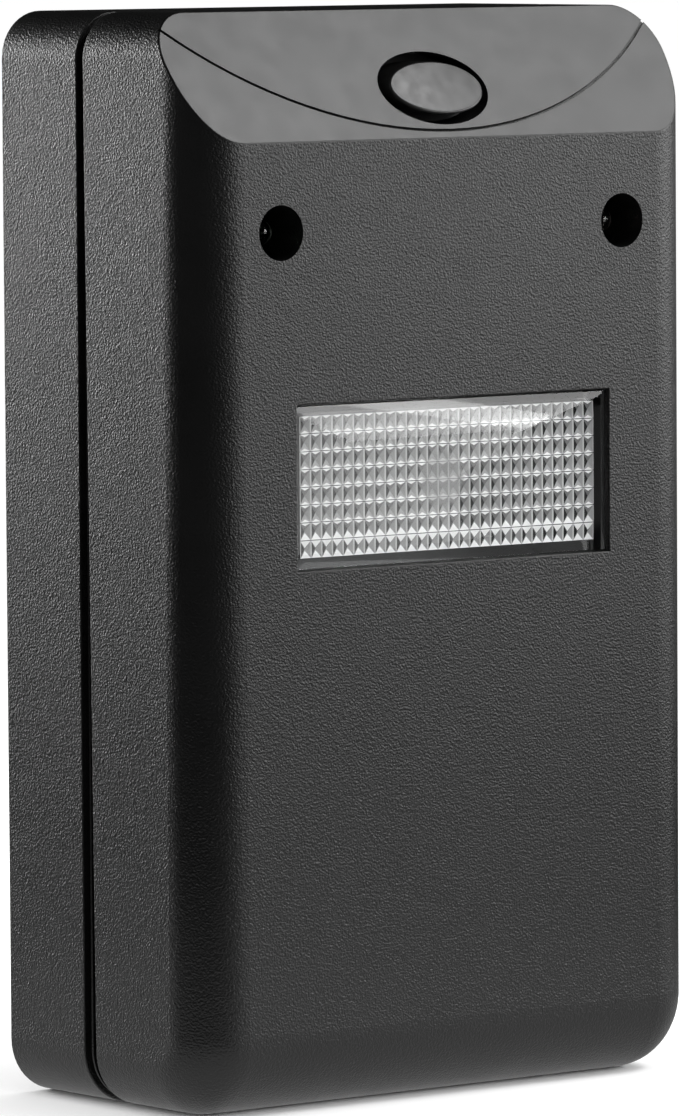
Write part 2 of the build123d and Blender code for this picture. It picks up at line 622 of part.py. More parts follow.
def switch_plunger():
    """The switch's plunger: a pin with a head that the spring pushes on."""
    pin = rod_y(0, BUTTON_Z, PLUNGER_RADIUS, PLUNGER_HEAD_BACK_Y, PLUNGER_TOP_Y)
    return pin + rod_y(0, BUTTON_Z, PLUNGER_HEAD_RADIUS, PLUNGER_HEAD_BACK_Y, PLUNGER_HEAD_FRONT_Y)


def switch_spring():
    """The return spring between the switch's floor and the plunger's head."""
    end = SPRING_WIRE_RADIUS + SPRING_END_GAP
    start_y = SWITCH_CAVITY_BACK_Y - end
    height = start_y - (PLUNGER_HEAD_BACK_Y + end)
    foot = (0, start_y, BUTTON_Z)
    path = Helix(SPRING_PITCH, height, SPRING_COIL_RADIUS, center=foot, direction=(0, -1, 0))
    wire = Plane(origin=path @ 0, z_dir=path % 0) * Circle(SPRING_WIRE_RADIUS)
    return sweep(wire, path=path, is_frenet=True)


def transducer_can():
    """The transducer's aluminium can, open downwards."""
    outer = transducer_ring(TRANSDUCER_RADIUS, TRANSDUCER_Z, TRANSDUCER_TOP_Z)
    return outer - transducer_ring(TRANSDUCER_RADIUS - TRANSDUCER_CAN_WALL, TRANSDUCER_Z, TRANSDUCER_TOP_Z)


def transducer_base():
    """The moulded base that closes the can from above."""
    inner = TRANSDUCER_RADIUS - TRANSDUCER_CAN_WALL
    disc = transducer_ring(inner, TRANSDUCER_TOP_Z - TRANSDUCER_BASE_THICKNESS, TRANSDUCER_TOP_Z)
    for bar in transducer_bars(TRANSDUCER_PIN_RADIUS + TRANSDUCER_PIN_CLEARANCE):
        disc -= bar
    return disc


def transducer_bars(radius):
    """Two upright bars where the transducer's pins are."""
    foot = Pos(0, -TRANSDUCER_DEPTH, TRANSDUCER_TOP_Z - TRANSDUCER_BASE_THICKNESS)
    height = TRANSDUCER_BASE_THICKNESS + TRANSDUCER_PIN_STUB
    shift = TRANSDUCER_PIN_SPACING / 2
    return [extrude(foot * Pos(side * shift, 0) * Circle(radius), amount=height) for side in (-1, 1)]


def transducer_pins():
    """The two pins through the transducer's base."""
    return Compound(children=transducer_bars(TRANSDUCER_PIN_RADIUS))


def transducer_cone():
    """The small resonator cone and its piezo disc behind the can's mouth."""
    middle = Pos(0, -TRANSDUCER_DEPTH, TRANSDUCER_Z + TRANSDUCER_HEIGHT / 2)
    disc = Cylinder(PIEZO_DISC_RADIUS, PIEZO_DISC_THICKNESS)
    drop = (PIEZO_DISC_THICKNESS + CONE_HEIGHT) / 2
    return middle * (disc + Pos(0, 0, -drop) * Cone(CONE_MOUTH_RADIUS, CONE_NECK_RADIUS, CONE_HEIGHT))


def transducer_lead(side):
    """The lead from one transducer pin to the foot of the board."""
    x = side * TRANSDUCER_PIN_SPACING / 2
    start = TRANSDUCER_TOP_Z + TRANSDUCER_PIN_STUB
    pad_z = BASE_Z + BOARD_BASE_GAP + SENSOR_PAD_ABOVE_BOARD_FOOT
    middle_y = -(TRANSDUCER_DEPTH + BOARD_FRONT) / 2
    points = [(x, -TRANSDUCER_DEPTH, start), (x, -TRANSDUCER_DEPTH, pad_z - SENSOR_LEAD_RISE)]
    points += [(x, middle_y, pad_z), (x, -BOARD_FRONT, pad_z)]
    return lead_tube(points, SENSOR_LEAD_RADIUS, SENSOR_LEAD_BEND)


def screws(places, head_back_y, head_height, head_radius, radius, length):
    """A set of pan-head screws along Y with cross recesses, heads towards the wall."""
    made = []
    for x, z in places:
        seat_y = head_back_y - head_height
        screw = rod_y(x, z, head_radius, head_back_y, seat_y)
        screw = fillet(screw.faces().sort_by(Axis.Y)[-1].edges(), head_height * SCREW_HEAD_ROUNDING)
        screw += rod_y(x, z, radius, seat_y, seat_y - length)
        slot = Rectangle(head_radius * SCREW_CROSS_LENGTH, head_radius * SCREW_CROSS_WIDTH)
        cross = Pos(x, z) * slot + Pos(x, z) * Rot(0, 0, 90) * slot
        screw -= along_y(cross, head_back_y + 1, head_back_y - head_height * SCREW_CROSS_DEPTH)
        made.append(screw)
    return Compound(children=made)


def above_board(height):
    """The depth of a point that stands the given height off the back of the board."""
    return -BOARD_BACK + height


def box_on_board(size, place):
    """A rounded block that stands on the back of the board."""
    width, height, tall = size
    outline = Pos(*place) * RectangleRounded(width, height, BOX_CORNER_RADIUS)
    return along_y(outline, above_board(tall), above_board(0))


def can_on_board(size, place):
    """A round can that stands on the back of the board, with a rolled groove near its foot."""
    radius, tall = size
    can = rod_y(*place, radius, above_board(tall), above_board(0))
    groove_top = CAN_GROOVE_START + CAN_GROOVE_WIDTH
    groove = rod_y(*place, radius + 1, above_board(groove_top), above_board(CAN_GROOVE_START))
    can -= groove - rod_y(*place, radius - CAN_GROOVE_DEPTH, 0, FRONT_Y)
    return fillet(can.faces().sort_by(Axis.Y)[-1].edges(), CAN_TOP_ROUNDING)


def axial_parts(size, places):
    """A row of axial components lying on the back of the board, each with its two end leads."""
    radius, length = size
    made = []
    for x, z in places:
        lie = Pos(x, above_board(radius), z) * Rot(0, 90, 0)
        wire = lie * Cylinder(LEAD_RADIUS, length + 2 * AXIAL_LEAD_LENGTH)
        made.append(lie * Cylinder(radius, length) + wire)
    return Compound(children=made)


def coil_waist(radius):
    """The round bar between the flanges of the coil's drum."""
    back, front = above_board(COIL_HEIGHT - COIL_FLANGE_THICKNESS), above_board(COIL_FLANGE_THICKNESS)
    return rod_y(*COIL_PLACE, radius, back, front)


def coil_core():
    """The ferrite drum of the driver coil."""
    drum = rod_y(*COIL_PLACE, COIL_RADIUS, above_board(COIL_HEIGHT), above_board(0))
    return drum - (coil_waist(COIL_RADIUS + 1) - coil_waist(COIL_NECK_RADIUS))


def coil_winding():
    """The copper winding on the drum."""
    return coil_waist(COIL_RADIUS - COIL_WIRE_INSET) - coil_waist(COIL_NECK_RADIUS)


def control_chip():
    """The eight-legged driver chip."""
    x, z = CHIP_PLACE
    half_length, half_width = CHIP_LENGTH / 2, CHIP_WIDTH / 2
    depths = (above_board(CHIP_STANDOFF), above_board(CHIP_TOP))
    body = block((x - half_length, x + half_length), depths, (z - half_width, z + half_width))
    for leg in range(CHIP_LEGS_A_SIDE):
        leg_x = x + (leg - (CHIP_LEGS_A_SIDE - 1) / 2) * CHIP_LEG_PITCH
        across = (leg_x - CHIP_LEG_WIDTH / 2, leg_x + CHIP_LEG_WIDTH / 2)
        for side in (-1, 1):
            ends = sorted((z + side * half_width, z + side * (half_width + CHIP_LEG_REACH)))
            body += block(across, (above_board(0), above_board(CHIP_LEG_TOP)), ends)
    return body


NODES = {
    "front_cover": front_cover(),
    "rear_cover": rear_cover(),
    "window_lens": window_lens(),
    "light_tray": light_tray(),
    "night_lamp": led(0, WINDOW_Z, LAMP_RADIUS, LAMP_RIM_RADIUS, LAMP_BASE_Y, LAMP_TIP_Y),
    "night_lamp_leads": leads(LAMP_LEADS, LAMP_BASE_Y),
    "green_indicator": led(-INDICATOR_X, INDICATOR_Z, LED_RADIUS, LED_RIM_RADIUS, LED_BASE_Y, LED_TIP_Y),
    "red_indicator": led(INDICATOR_X, INDICATOR_Z, LED_RADIUS, LED_RIM_RADIUS, LED_BASE_Y, LED_TIP_Y),
    "indicator_leads": leads(INDICATOR_LEADS, LED_BASE_Y),
    "indicator_spacers": spacers(),
    "button_cap": button_cap(),
    "switch_body": switch_body(),
    "switch_cover": switch_cover(),
    "switch_plunger": switch_plunger(),
    "switch_spring": switch_spring(),
    "switch_pins": leads(SWITCH_PINS, -BOARD_FRONT),
    "circuit_board": board(),
    "line_blade": blade(-1),
    "neutral_blade": blade(1),
    "blade_holder": blade_holder(),
    "line_lead": mains_lead(-1),
    "neutral_lead": mains_lead(1),
    "transducer_can": transducer_can(),
    "transducer_base": transducer_base(),
    "transducer_cone": transducer_cone(),
    "transducer_pins": transducer_pins(),
    "transducer_lead_left": transducer_lead(-1),
    "transducer_lead_right": transducer_lead(1),
    "film_capacitor": box_on_board(FILM_CAPACITOR_SIZE, FILM_CAPACITOR_PLACE),
    "smoothing_capacitor": can_on_board(SMOOTHING_CAPACITOR_SIZE, SMOOTHING_CAPACITOR_PLACE),
    "timing_capacitor": can_on_board(TIMING_CAPACITOR_SIZE, TIMING_CAPACITOR_PLACE),
    "coil_core": coil_core(),
    "coil_winding": coil_winding(),
    "control_chip": control_chip(),
    "bridge_rectifier": box_on_board(RECTIFIER_SIZE, RECTIFIER_PLACE),
    "fuse": can_on_board(FUSE_SIZE, FUSE_PLACE),
    "resistors": axial_parts(RESISTOR_SIZE, RESISTOR_PLACES),
    "diodes": axial_parts(DIODE_SIZE, DIODE_PLACES),
    "case_screws": screws(
        CASE_SCREW_PLACES,
        -CASE_SCREW_RECESS_DEPTH + CASE_SCREW_HEAD_HEIGHT,
        CASE_SCREW_HEAD_HEIGHT,
        CASE_SCREW_HEAD_RADIUS,
        CASE_SCREW_RADIUS,
        CASE_SCREW_LENGTH,
    ),
    "board_screws": screws(
        BOARD_SCREW_PLACES,
        -BOARD_BACK + BOARD_SCREW_HEAD_HEIGHT,
        BOARD_SCREW_HEAD_HEIGHT,
        BOARD_SCREW_HEAD_RADIUS,
        BOARD_SCREW_RADIUS,
        BOARD_SCREW_LENGTH,
    ),
}

os.makedirs("parts", exist_ok=True)
for name, shape in NODES.items():
    export_step(shape, f"parts/{name}.step")
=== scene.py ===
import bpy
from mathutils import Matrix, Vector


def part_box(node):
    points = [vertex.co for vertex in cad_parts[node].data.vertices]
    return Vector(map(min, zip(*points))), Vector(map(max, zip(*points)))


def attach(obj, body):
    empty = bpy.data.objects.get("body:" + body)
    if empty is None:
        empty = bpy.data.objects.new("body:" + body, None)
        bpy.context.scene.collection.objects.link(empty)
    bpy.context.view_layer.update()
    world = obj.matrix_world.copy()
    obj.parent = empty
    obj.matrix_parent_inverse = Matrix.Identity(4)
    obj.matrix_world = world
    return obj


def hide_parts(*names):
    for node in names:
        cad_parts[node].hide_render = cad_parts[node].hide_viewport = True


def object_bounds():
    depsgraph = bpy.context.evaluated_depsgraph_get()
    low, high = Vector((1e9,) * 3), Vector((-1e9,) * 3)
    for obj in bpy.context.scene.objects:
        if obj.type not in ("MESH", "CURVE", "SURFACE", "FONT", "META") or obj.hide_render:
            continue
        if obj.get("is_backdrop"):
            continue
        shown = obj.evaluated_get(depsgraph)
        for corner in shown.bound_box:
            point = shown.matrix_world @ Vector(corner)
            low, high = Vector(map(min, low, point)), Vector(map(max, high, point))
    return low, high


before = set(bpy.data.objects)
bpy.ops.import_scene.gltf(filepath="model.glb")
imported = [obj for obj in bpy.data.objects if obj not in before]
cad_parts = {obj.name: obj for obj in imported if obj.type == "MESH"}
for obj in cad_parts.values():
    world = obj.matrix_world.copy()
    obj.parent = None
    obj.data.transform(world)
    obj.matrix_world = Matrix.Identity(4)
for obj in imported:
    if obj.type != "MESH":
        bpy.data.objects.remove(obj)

"""Looks of a plug-in ultrasonic pest repeller with a night light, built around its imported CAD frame.

Everything is in metres in the frame of the CAD: +X right, +Y towards the wall, +Z up, and the origin in
the middle of the plug on the back face. Each sub-assembly is a class, and each finish is a frozen dataclass.
"""

import logging
import math
from dataclasses import dataclass, field
from enum import Enum
from typing import Callable, Sequence

import bmesh
import bpy
from mathutils import Matrix, Vector

MM = 0.001
NEAR = 0.01 * MM
ALONG_Y = (math.pi / 2, 0, 0)
FACET_HEIGHT = 14.0 * MM
FACET_SETBACK = 9.4 * MM
HOUSING = "housing"

log = logging.getLogger("repeller")

Colour = tuple[float, float, float]
Point = tuple[float, float, float]
Box = tuple[Vector, Vector]
Material = bpy.types.Material
Node = bpy.types.Node
Piece = bpy.types.Object
Socket = bpy.types.NodeSocket

BLACK = (0.0, 0.0, 0.0)
WHITE = (1.0, 1.0, 1.0)

# ---------------------------------------------------------------------------------------------------------
# Materials
# ---------------------------------------------------------------------------------------------------------


class Sheet:
    """A node sheet of one material, with short calls to place and join nodes."""

    def __init__(self, name: str) -> None:
        """Starts an empty sheet.

        Args:
            name: The material's name.
        """
        self.material = bpy.data.materials.new(name)
        self.material.use_nodes = True
        self.tree = self.material.node_tree
        self.tree.nodes.clear()
        self.output = self.tree.nodes.new("ShaderNodeOutputMaterial")

    def node(self, kind: str, settings: dict | None = None, **inputs: object) -> Node:
        """Adds a node.

        Args:
            kind: The node's type without its "ShaderNode" start.
            settings: Properties of the node to set.
            inputs: Values or sockets for its inputs; an underscore stands for a space.

        Returns:
            The new node.
        """
        made = self.tree.nodes.new("ShaderNode" + kind)
        for key, value in (settings or {}).items():
            setattr(made, key, value)
        for key, value in inputs.items():
            socket = made.inputs[int(key[1:])] if key[1:].isdigit() else made.inputs[key.replace("_", " ")]
            if isinstance(value, Socket):
                self.tree.links.new(value, socket)
            else:
                socket.default_value = value
        return made

    def place(self) -> Socket:
        """The point on the piece, in its own coordinates."""
        return self.node("TexCoord").outputs["Object"]

    def noise(self, pitch: float, detail: float = 2.0, roughness: float = 0.5) -> Socket:
        """A cloudy pattern.

        Args:
            pitch: The pattern's pitch in metres.
            detail: How many finer layers it has.
            roughness: How strong the finer layers are.

        Returns:
            The pattern's value, from 0 to 1.
        """
        made = self.node("TexNoise", Vector=self.place(), Scale=1 / pitch, Detail=detail, Roughness=roughness)
        return made.outputs["Fac"]

    def stretched(self, pitch: Point, detail: float = 3.0) -> Socket:
        """A cloudy pattern with its own pitch along each axis, as brushed or drawn metal has.

        Args:
            pitch: The pitch along X, Y and Z in metres.
            detail: How many finer layers it has.

        Returns:
            The pattern's value, from 0 to 1.
        """
        mapped = self.node("Mapping", Vector=self.place(), Scale=tuple(1 / p for p in pitch))
        made = self.node("TexNoise", Vector=mapped.outputs[0], Scale=1.0, Detail=detail)
        return made.outputs["Fac"]

    def pebbles(self, pitch: float) -> Socket:
        """A field of small round pebbles.

        Args:
            pitch: Their pitch in metres.

        Returns:
            The height of the field.
        """
        settings = {"feature": "SMOOTH_F1"}
        made = self.node("TexVoronoi", settings, Vector=self.place(), Scale=1 / pitch, Smoothness=0.6)
        return made.outputs["Distance"]

    def span(self, value: Socket, low: float, high: float, to_low: float, to_high: float) -> Socket:
        """Carries a value from one range to another and stops at both ends.

        Args:
            value: The socket to read.
            low: The start of the range that is read.
            high: The end of that range.
            to_low: The result at the start.
            to_high: The result at the end.

        Returns:
            The result's socket.
        """
        made = self.node("MapRange", Value=value)
        for key, number in (("From Min", low), ("From Max", high), ("To Min", to_low), ("To Max", to_high)):
            made.inputs[key].default_value = number
        return made.outputs[0]

    def math(self, operation: str, first: object, second: object = 0.0) -> Socket:
        """One sum of two values.

        Args:
            operation: The name of Blender's operation.
            first: The first socket or number.
            second: The second socket or number.

        Returns:
            The result's socket.
        """
        return self.node("Math", {"operation": operation}, _0=first, _1=second).outputs[0]

    def blend(self, amount: object, low: object, high: object) -> Socket:
        """Mixes two colours.

        Args:
            amount: How much of the second there is.
            low: The first colour or socket.
            high: The second colour or socket.

        Returns:
            The mixed colour's socket.
        """
        made = self.node("Mix", {"data_type": "RGBA"}, _0=amount)
        for socket, value in ((made.inputs[6], low), (made.inputs[7], high)):
            if isinstance(value, Socket):
                self.tree.links.new(value, socket)
            else:
                socket.default_value = (*value, 1.0)
        return made.outputs[2]

    def bump(self, height: object, depth: float, strength: object = 1.0) -> Socket:
        """Turns a height into a bumped normal.

        Args:
            height: The height's socket.
            depth: How deep a height of 1 is, in metres.
            strength: How much of the bump there is.

        Returns:
            The normal's socket.
        """
        return self.node("Bump", Height=height, Distance=depth, Strength=strength).outputs[0]

    def finish(self, shader: Node) -> Material:
        """Joins the shader to the output and returns the material."""
        self.tree.links.new(shader.outputs[0], self.output.inputs["Surface"])
        return self.material


@dataclass(frozen=True)
class CasePlastic:
    """Black moulded case plastic: pebbled grain, except on the smooth slanted face."""

    name: str = "case_plastic"
    dark: Colour = (0.002, 0.002, 0.002)
    light: Colour = (0.003, 0.003, 0.003)
    grain_pitch: float = 0.23 * MM
    grain_depth: float = 0.09 * MM
    facet_roughness: float = 0.36
    grain_roughness: float = 0.42
    facet_point: Point = (0.0, 0.0, 0.0)
    facet_normal: Point = (0.0, 0.0, 1.0)

    def build(self) -> Material:
        """Makes the material.

        Returns:
            The material.
        """
        sheet = Sheet(self.name)
        normal = Vector(self.facet_normal)
        level = sheet.node("VectorMath", {"operation": "DOT_PRODUCT"}, _0=sheet.place(), _1=tuple(normal))
        from_facet = sheet.math("SUBTRACT", level.outputs["Value"], normal.dot(Vector(self.facet_point)))
        grained = sheet.span(from_facet, -0.10 * MM, -0.05 * MM, 1.0, 0.0)
        worms = sheet.noise(self.grain_pitch, 1.5, 0.55)
        pebbles = sheet.pebbles(self.grain_pitch * 1.15)
        height = sheet.math("ADD", sheet.math("MULTIPLY", worms, 0.8), sheet.math("MULTIPLY", pebbles, 0.5))
        silk = sheet.noise(0.05 * MM, 2.0)
        grain = sheet.bump(height, self.grain_depth, grained)
        fine = sheet.node("Bump", Height=silk, Distance=0.0012 * MM, Normal=grain).outputs[0]
        tone = sheet.span(sheet.noise(9.0 * MM, 4.0), 0.3, 0.7, 0.0, 1.0)
        gloss = sheet.span(sheet.noise(3.0 * MM, 3.0), 0.3, 0.7, -0.02, 0.02)
        satin = sheet.span(grained, 0.0, 1.0, self.facet_roughness, self.grain_roughness)
        rough = sheet.math("ADD", satin, gloss)
        colour = sheet.blend(tone, self.dark, self.light)
        shader = sheet.node("BsdfPrincipled", Base_Color=colour, Roughness=rough, Normal=fine)
        shader.inputs["IOR"].default_value = 1.52
        return sheet.finish(shader)


@dataclass(frozen=True)
class MouldedPlastic:
    """Plain moulded plastic or rubber with a soft skin, faint flow marks and fine tooth."""

    name: str
    colour: Colour
    roughness: float = 0.45
    spread: float = 0.12
    tooth_pitch: float = 0.12 * MM
    tooth_depth: float = 0.004 * MM
    cloud_pitch: float = 4.0 * MM

    def build(self) -> Material:
        """Makes the material.

        Returns:
            The material.
        """
        sheet = Sheet(self.name)
        cloud = sheet.span(sheet.noise(self.cloud_pitch, 4.0), 0.3, 0.7, 0.0, 1.0)
        low = tuple(c * (1 - self.spread) for c in self.colour)
        high = tuple(min(1.0, c * (1 + self.spread)) for c in self.colour)
        wear = sheet.span(sheet.noise(self.cloud_pitch * 0.4, 3.0), 0.3, 0.7, -0.05, 0.05)
        shader = sheet.node(
            "BsdfPrincipled",
            Base_Color=sheet.blend(cloud, low, high),
            Roughness=sheet.math("ADD", wear, self.roughness),
            Normal=sheet.bump(sheet.noise(self.tooth_pitch, 2.0), self.tooth_depth),
        )
        return sheet.finish(shader)


@dataclass(frozen=True)
class WorkedMetal:
    """Metal with the marks of how it was drawn, rolled or plated."""

    name: str
    colour: Colour
    roughness: float = 0.28
    grain: Point = (0.05 * MM, 1.2 * MM, 0.05 * MM)
    depth: float = 0.002 * MM
    tarnish: Colour = (0.25, 0.22, 0.18)
    tarnish_amount: float = 0.15

    def build(self) -> Material:
        """Makes the material.

        Returns:
            The material.
        """
        sheet = Sheet(self.name)
        marks = sheet.stretched(self.grain)
        stain = sheet.span(sheet.noise(2.5 * MM, 5.0), 0.45, 0.8, 0.0, self.tarnish_amount)
        shader = sheet.node(
            "BsdfPrincipled",
            Base_Color=sheet.blend(stain, self.colour, self.tarnish),
            Roughness=sheet.math("ADD", sheet.span(marks, 0.3, 0.7, -0.06, 0.08), self.roughness),
            Normal=sheet.bump(marks, self.depth),
        )
        shader.inputs["Metallic"].default_value = 1.0
        return sheet.finish(shader)


@dataclass(frozen=True)
class ClearPlastic:
    """Clear or tinted plastic that light passes through."""

    name: str
    colour: Colour = (0.97, 0.98, 0.98)
    roughness: float = 0.02
    ripple_pitch: float = 6.0 * MM
    ripple_depth: float = 0.002 * MM
    lets_through: float = 0.9
    specular: float = 0.2

    def build(self) -> Material:
        """Makes the material.

        Returns:
            The material.
        """
        sheet = Sheet(self.name)
        tint = sheet.span(sheet.noise(self.ripple_pitch, 2.0), 0.3, 0.7, 0.0, 1.0)
        shader = sheet.node(
            "BsdfPrincipled",
            Base_Color=sheet.blend(tint, tuple(c * 0.97 for c in self.colour), self.colour),
            Roughness=sheet.span(sheet.noise(1.5 * MM, 3.0), 0.3, 0.7, self.roughness, self.roughness + 0.02),
            Normal=sheet.bump(sheet.noise(self.ripple_pitch, 1.0), self.ripple_depth),
        )
        shader.inputs["Transmission Weight"].default_value = 1.0
        shader.inputs["IOR"].default_value = 1.5
        shader.inputs["Specular IOR Level"].default_value = self.specular
        clear = sheet.node("BsdfTransparent", Color=(*(c * self.lets_through for c in self.colour), 1.0))
        shadow = sheet.node("LightPath").outputs["Is Shadow Ray"]
        body = self.surface(sheet, shader)
        return sheet.finish(sheet.node("MixShader", _0=shadow, _1=body.outputs[0], _2=clear.outputs[0]))

    def surface(self, sheet: Sheet, shader: Node) -> Node:
        """Leaves the plain clear surface as it is."""
        return shader


@dataclass(frozen=True)
class PrismPlasticWithPaintedLight(ClearPlastic):
    """Clear plastic with a fixed pattern of greys drawn on its field of small pyramids.

    The pattern is painted light and shade: it stands in for the light that the facets would bend and throw
    back, so it stays the same from every side. The four facet values are painted greys of a cell's facets,
    set for how the light falls on each. The lines between columns are painted highlights. The glints are
    painted highlights, diamonds on the lines between rows, larger on the lowest rows. The spot is a painted
    pale round patch in front of the night lamp, where the lamp shows through.
    """

    columns: int = 28
    rows: int = 8
    # Painted shade and light: the greys of a cell's left, right, upper and lower facets, set for how the
    # light falls on each.
    facet_left: float = 0.02
    facet_right: float = 0.42
    facet_up: float = 0.2
    facet_down: float = 0.4
    # Painted highlight: the width and grey of the pale lines between columns.
    line_half_width: float = 0.08
    painted_line_grey: float = 0.55
    # Painted highlight: the glints on the lines between rows, each split by a thin painted dark line.
    painted_glint_grey: float = 0.95
    glint_height: float = 0.19
    glint_height_low: float = 0.42
    low_rows: float = 2.5
    glint_split: float = 0.022
    cover: float = 0.92
    # Painted light: the pale patch where the night lamp shows through the pyramids.
    spot_radius: float = 3.3 * MM
    spot_core: float = 0.8
    spot_shift: float = -0.8 * MM
    painted_spot_grey: float = 0.3
    spot_share: float = 0.6

    def surface(self, sheet: Sheet, shader: Node) -> Node:
        """Draws the pattern on the facets.

        Args:
            sheet: The node sheet.
            shader: The clear surface.

        Returns:
            The mixed surface.
        """
        centre, half, front = WindowLens.field()
        point = sheet.node("SeparateXYZ", _0=sheet.place()).outputs
        across = sheet.math("MULTIPLY", point["X"], self.columns / (2 * half.x))
        height = sheet.math("SUBTRACT", point["Z"], centre.z)
        upward = sheet.math("MULTIPLY", height, self.rows / (2 * half.z))
        u = sheet.math("SUBTRACT", sheet.math("FRACT", across), 0.5)
        v = sheet.math("SUBTRACT", sheet.math("FRACT", upward), 0.5)
        far_u, far_v = sheet.math("ABSOLUTE", u), sheet.math("ABSOLUTE", v)
        # Painted shade and light: each facet gets the grey that stands in for the light it would bend and
        # throw back.
        beside = sheet.math("GREATER_THAN", far_u, far_v)
        sides = sheet.span(sheet.math("GREATER_THAN", u, 0.0), 0.0, 1.0, self.facet_left, self.facet_right)
        ends = sheet.span(sheet.math("GREATER_THAN", v, 0.0), 0.0, 1.0, self.facet_down, self.facet_up)
        facet = sheet.math("ADD", sheet.math("MULTIPLY", beside, sides), self.other(sheet, beside, ends))
        # Painted highlight: a pale line along each border between columns.
        line = sheet.math("GREATER_THAN", far_u, 0.5 - self.line_half_width)
        line = sheet.math("MULTIPLY", line, self.painted_line_grey)
        # Painted highlight: a glint diamond on each line between rows, taller on the lowest rows.
        from_border = sheet.math("SUBTRACT", 0.5, far_v)
        low = sheet.math("LESS_THAN", upward, -self.low_rows)
        reach = sheet.span(low, 0.0, 1.0, self.glint_height, self.glint_height_low)
        taper = sheet.math("SUBTRACT", 1.0, sheet.math("MULTIPLY", far_u, 2.0))
        glint = sheet.math("LESS_THAN", from_border, sheet.math("MULTIPLY", reach, taper))
        glint = sheet.math("MULTIPLY", glint, self.painted_glint_grey)
        # Painted shade: a thin dark line through the middle of each glint.
        split = sheet.math("GREATER_THAN", from_border, self.glint_split)
        brightest = sheet.math("MAXIMUM", sheet.math("MAXIMUM", facet, line), glint)
        grey = sheet.blend(sheet.math("MULTIPLY", brightest, split), BLACK, WHITE)
        # Painted light: a pale round patch where the night lamp shows through the pyramids.
        beside_spot = sheet.math("SUBTRACT", point["X"], self.spot_shift)
        squares = sheet.math("ADD", sheet.math("POWER", beside_spot, 2.0), sheet.math("POWER", height, 2.0))
        away = sheet.math("SQRT", squares)
        spot = sheet.span(away, self.spot_radius * self.spot_core, self.spot_radius, self.spot_share, 0.0)
        grey = sheet.blend(spot, grey, (self.painted_spot_grey,) * 3)
        inside_x = sheet.math("LESS_THAN", sheet.math("ABSOLUTE", point["X"]), half.x)
        inside_z = sheet.math("LESS_THAN", sheet.math("ABSOLUTE", height), half.z)
        behind = sheet.math("GREATER_THAN", point["Y"], front)
        amount = self.cover
        for limit in (inside_x, inside_z, behind):
            amount = sheet.math("MULTIPLY", amount, limit)
        facets = sheet.node("BsdfDiffuse", Color=grey)
        return sheet.node("MixShader", _0=amount, _1=shader.outputs[0], _2=facets.outputs[0])

    @staticmethod
    def other(sheet: Sheet, switch: Socket, value: Socket) -> Socket:
        """The value where the switch is off, and nothing where it is on."""
        return sheet.math("MULTIPLY", sheet.math("SUBTRACT", 1.0, switch), value)


FINISHES = [
    MouldedPlastic("button_plastic", (0.006, 0.006, 0.006), 0.34, tooth_depth=0.001 * MM),
    # The lens, with its painted pattern of light and shade on the pyramid field.
    PrismPlasticWithPaintedLight("clear_plastic"),
    # Painted shade: the tray is made dark grey to stand in for the shade inside the housing behind the lens.
    MouldedPlastic("tray_plastic", (0.07, 0.07, 0.07), 0.5, 0.015),
    ClearPlastic("lamp_epoxy"),
    ClearPlastic("green_epoxy", (0.86, 0.95, 0.88)),
    ClearPlastic("red_epoxy", (0.95, 0.86, 0.86)),
    WorkedMetal("tinned_wire", (0.72, 0.72, 0.7), 0.3),
    MouldedPlastic("spacer_nylon", (0.01, 0.01, 0.01), 0.5),
    MouldedPlastic("switch_plastic", (0.02, 0.02, 0.022), 0.5),
    MouldedPlastic("plunger_plastic", (0.6, 0.6, 0.58), 0.45),
    WorkedMetal("spring_steel", (0.6, 0.6, 0.62), 0.25),
    MouldedPlastic("board_laminate", (0.05, 0.19, 0.07), 0.35),
    WorkedMetal("blade_brass", (0.72, 0.7, 0.64), 0.26, (1.2 * MM, 0.05 * MM, 1.2 * MM)),
    MouldedPlastic("holder_plastic", (0.012, 0.012, 0.012), 0.5),
    MouldedPlastic("line_insulation", (0.015, 0.015, 0.015), 0.4),
    MouldedPlastic("neutral_insulation", (0.7, 0.7, 0.68), 0.4),
    WorkedMetal("can_aluminium", (0.75, 0.76, 0.77), 0.32, (0.05 * MM, 0.05 * MM, 1.5 * MM)),
    MouldedPlastic("film_box", (0.62, 0.42, 0.05), 0.3),
    MouldedPlastic("can_sleeve", (0.015, 0.02, 0.09), 0.25),
    MouldedPlastic("ferrite", (0.025, 0.025, 0.027), 0.6),
    WorkedMetal("enamelled_copper", (0.55, 0.2, 0.08), 0.3, (0.3 * MM, 0.3 * MM, 0.3 * MM)),
    MouldedPlastic("chip_epoxy", (0.015, 0.015, 0.016), 0.55),
    MouldedPlastic("resistor_coat", (0.45, 0.3, 0.16), 0.35),
    WorkedMetal("screw_steel", (0.55, 0.55, 0.55), 0.3, (0.3 * MM, 0.3 * MM, 0.3 * MM)),
    WorkedMetal("solder", (0.7, 0.7, 0.7), 0.22, (0.5 * MM, 0.5 * MM, 0.5 * MM)),
    MouldedPlastic("lacquered_copper", (0.09, 0.3, 0.12), 0.3),
    MouldedPlastic("sleeve_stripe", (0.55, 0.56, 0.6), 0.25),
]


# ---------------------------------------------------------------------------------------------------------
# Stage: floor, lights and camera
# ---------------------------------------------------------------------------------------------------------


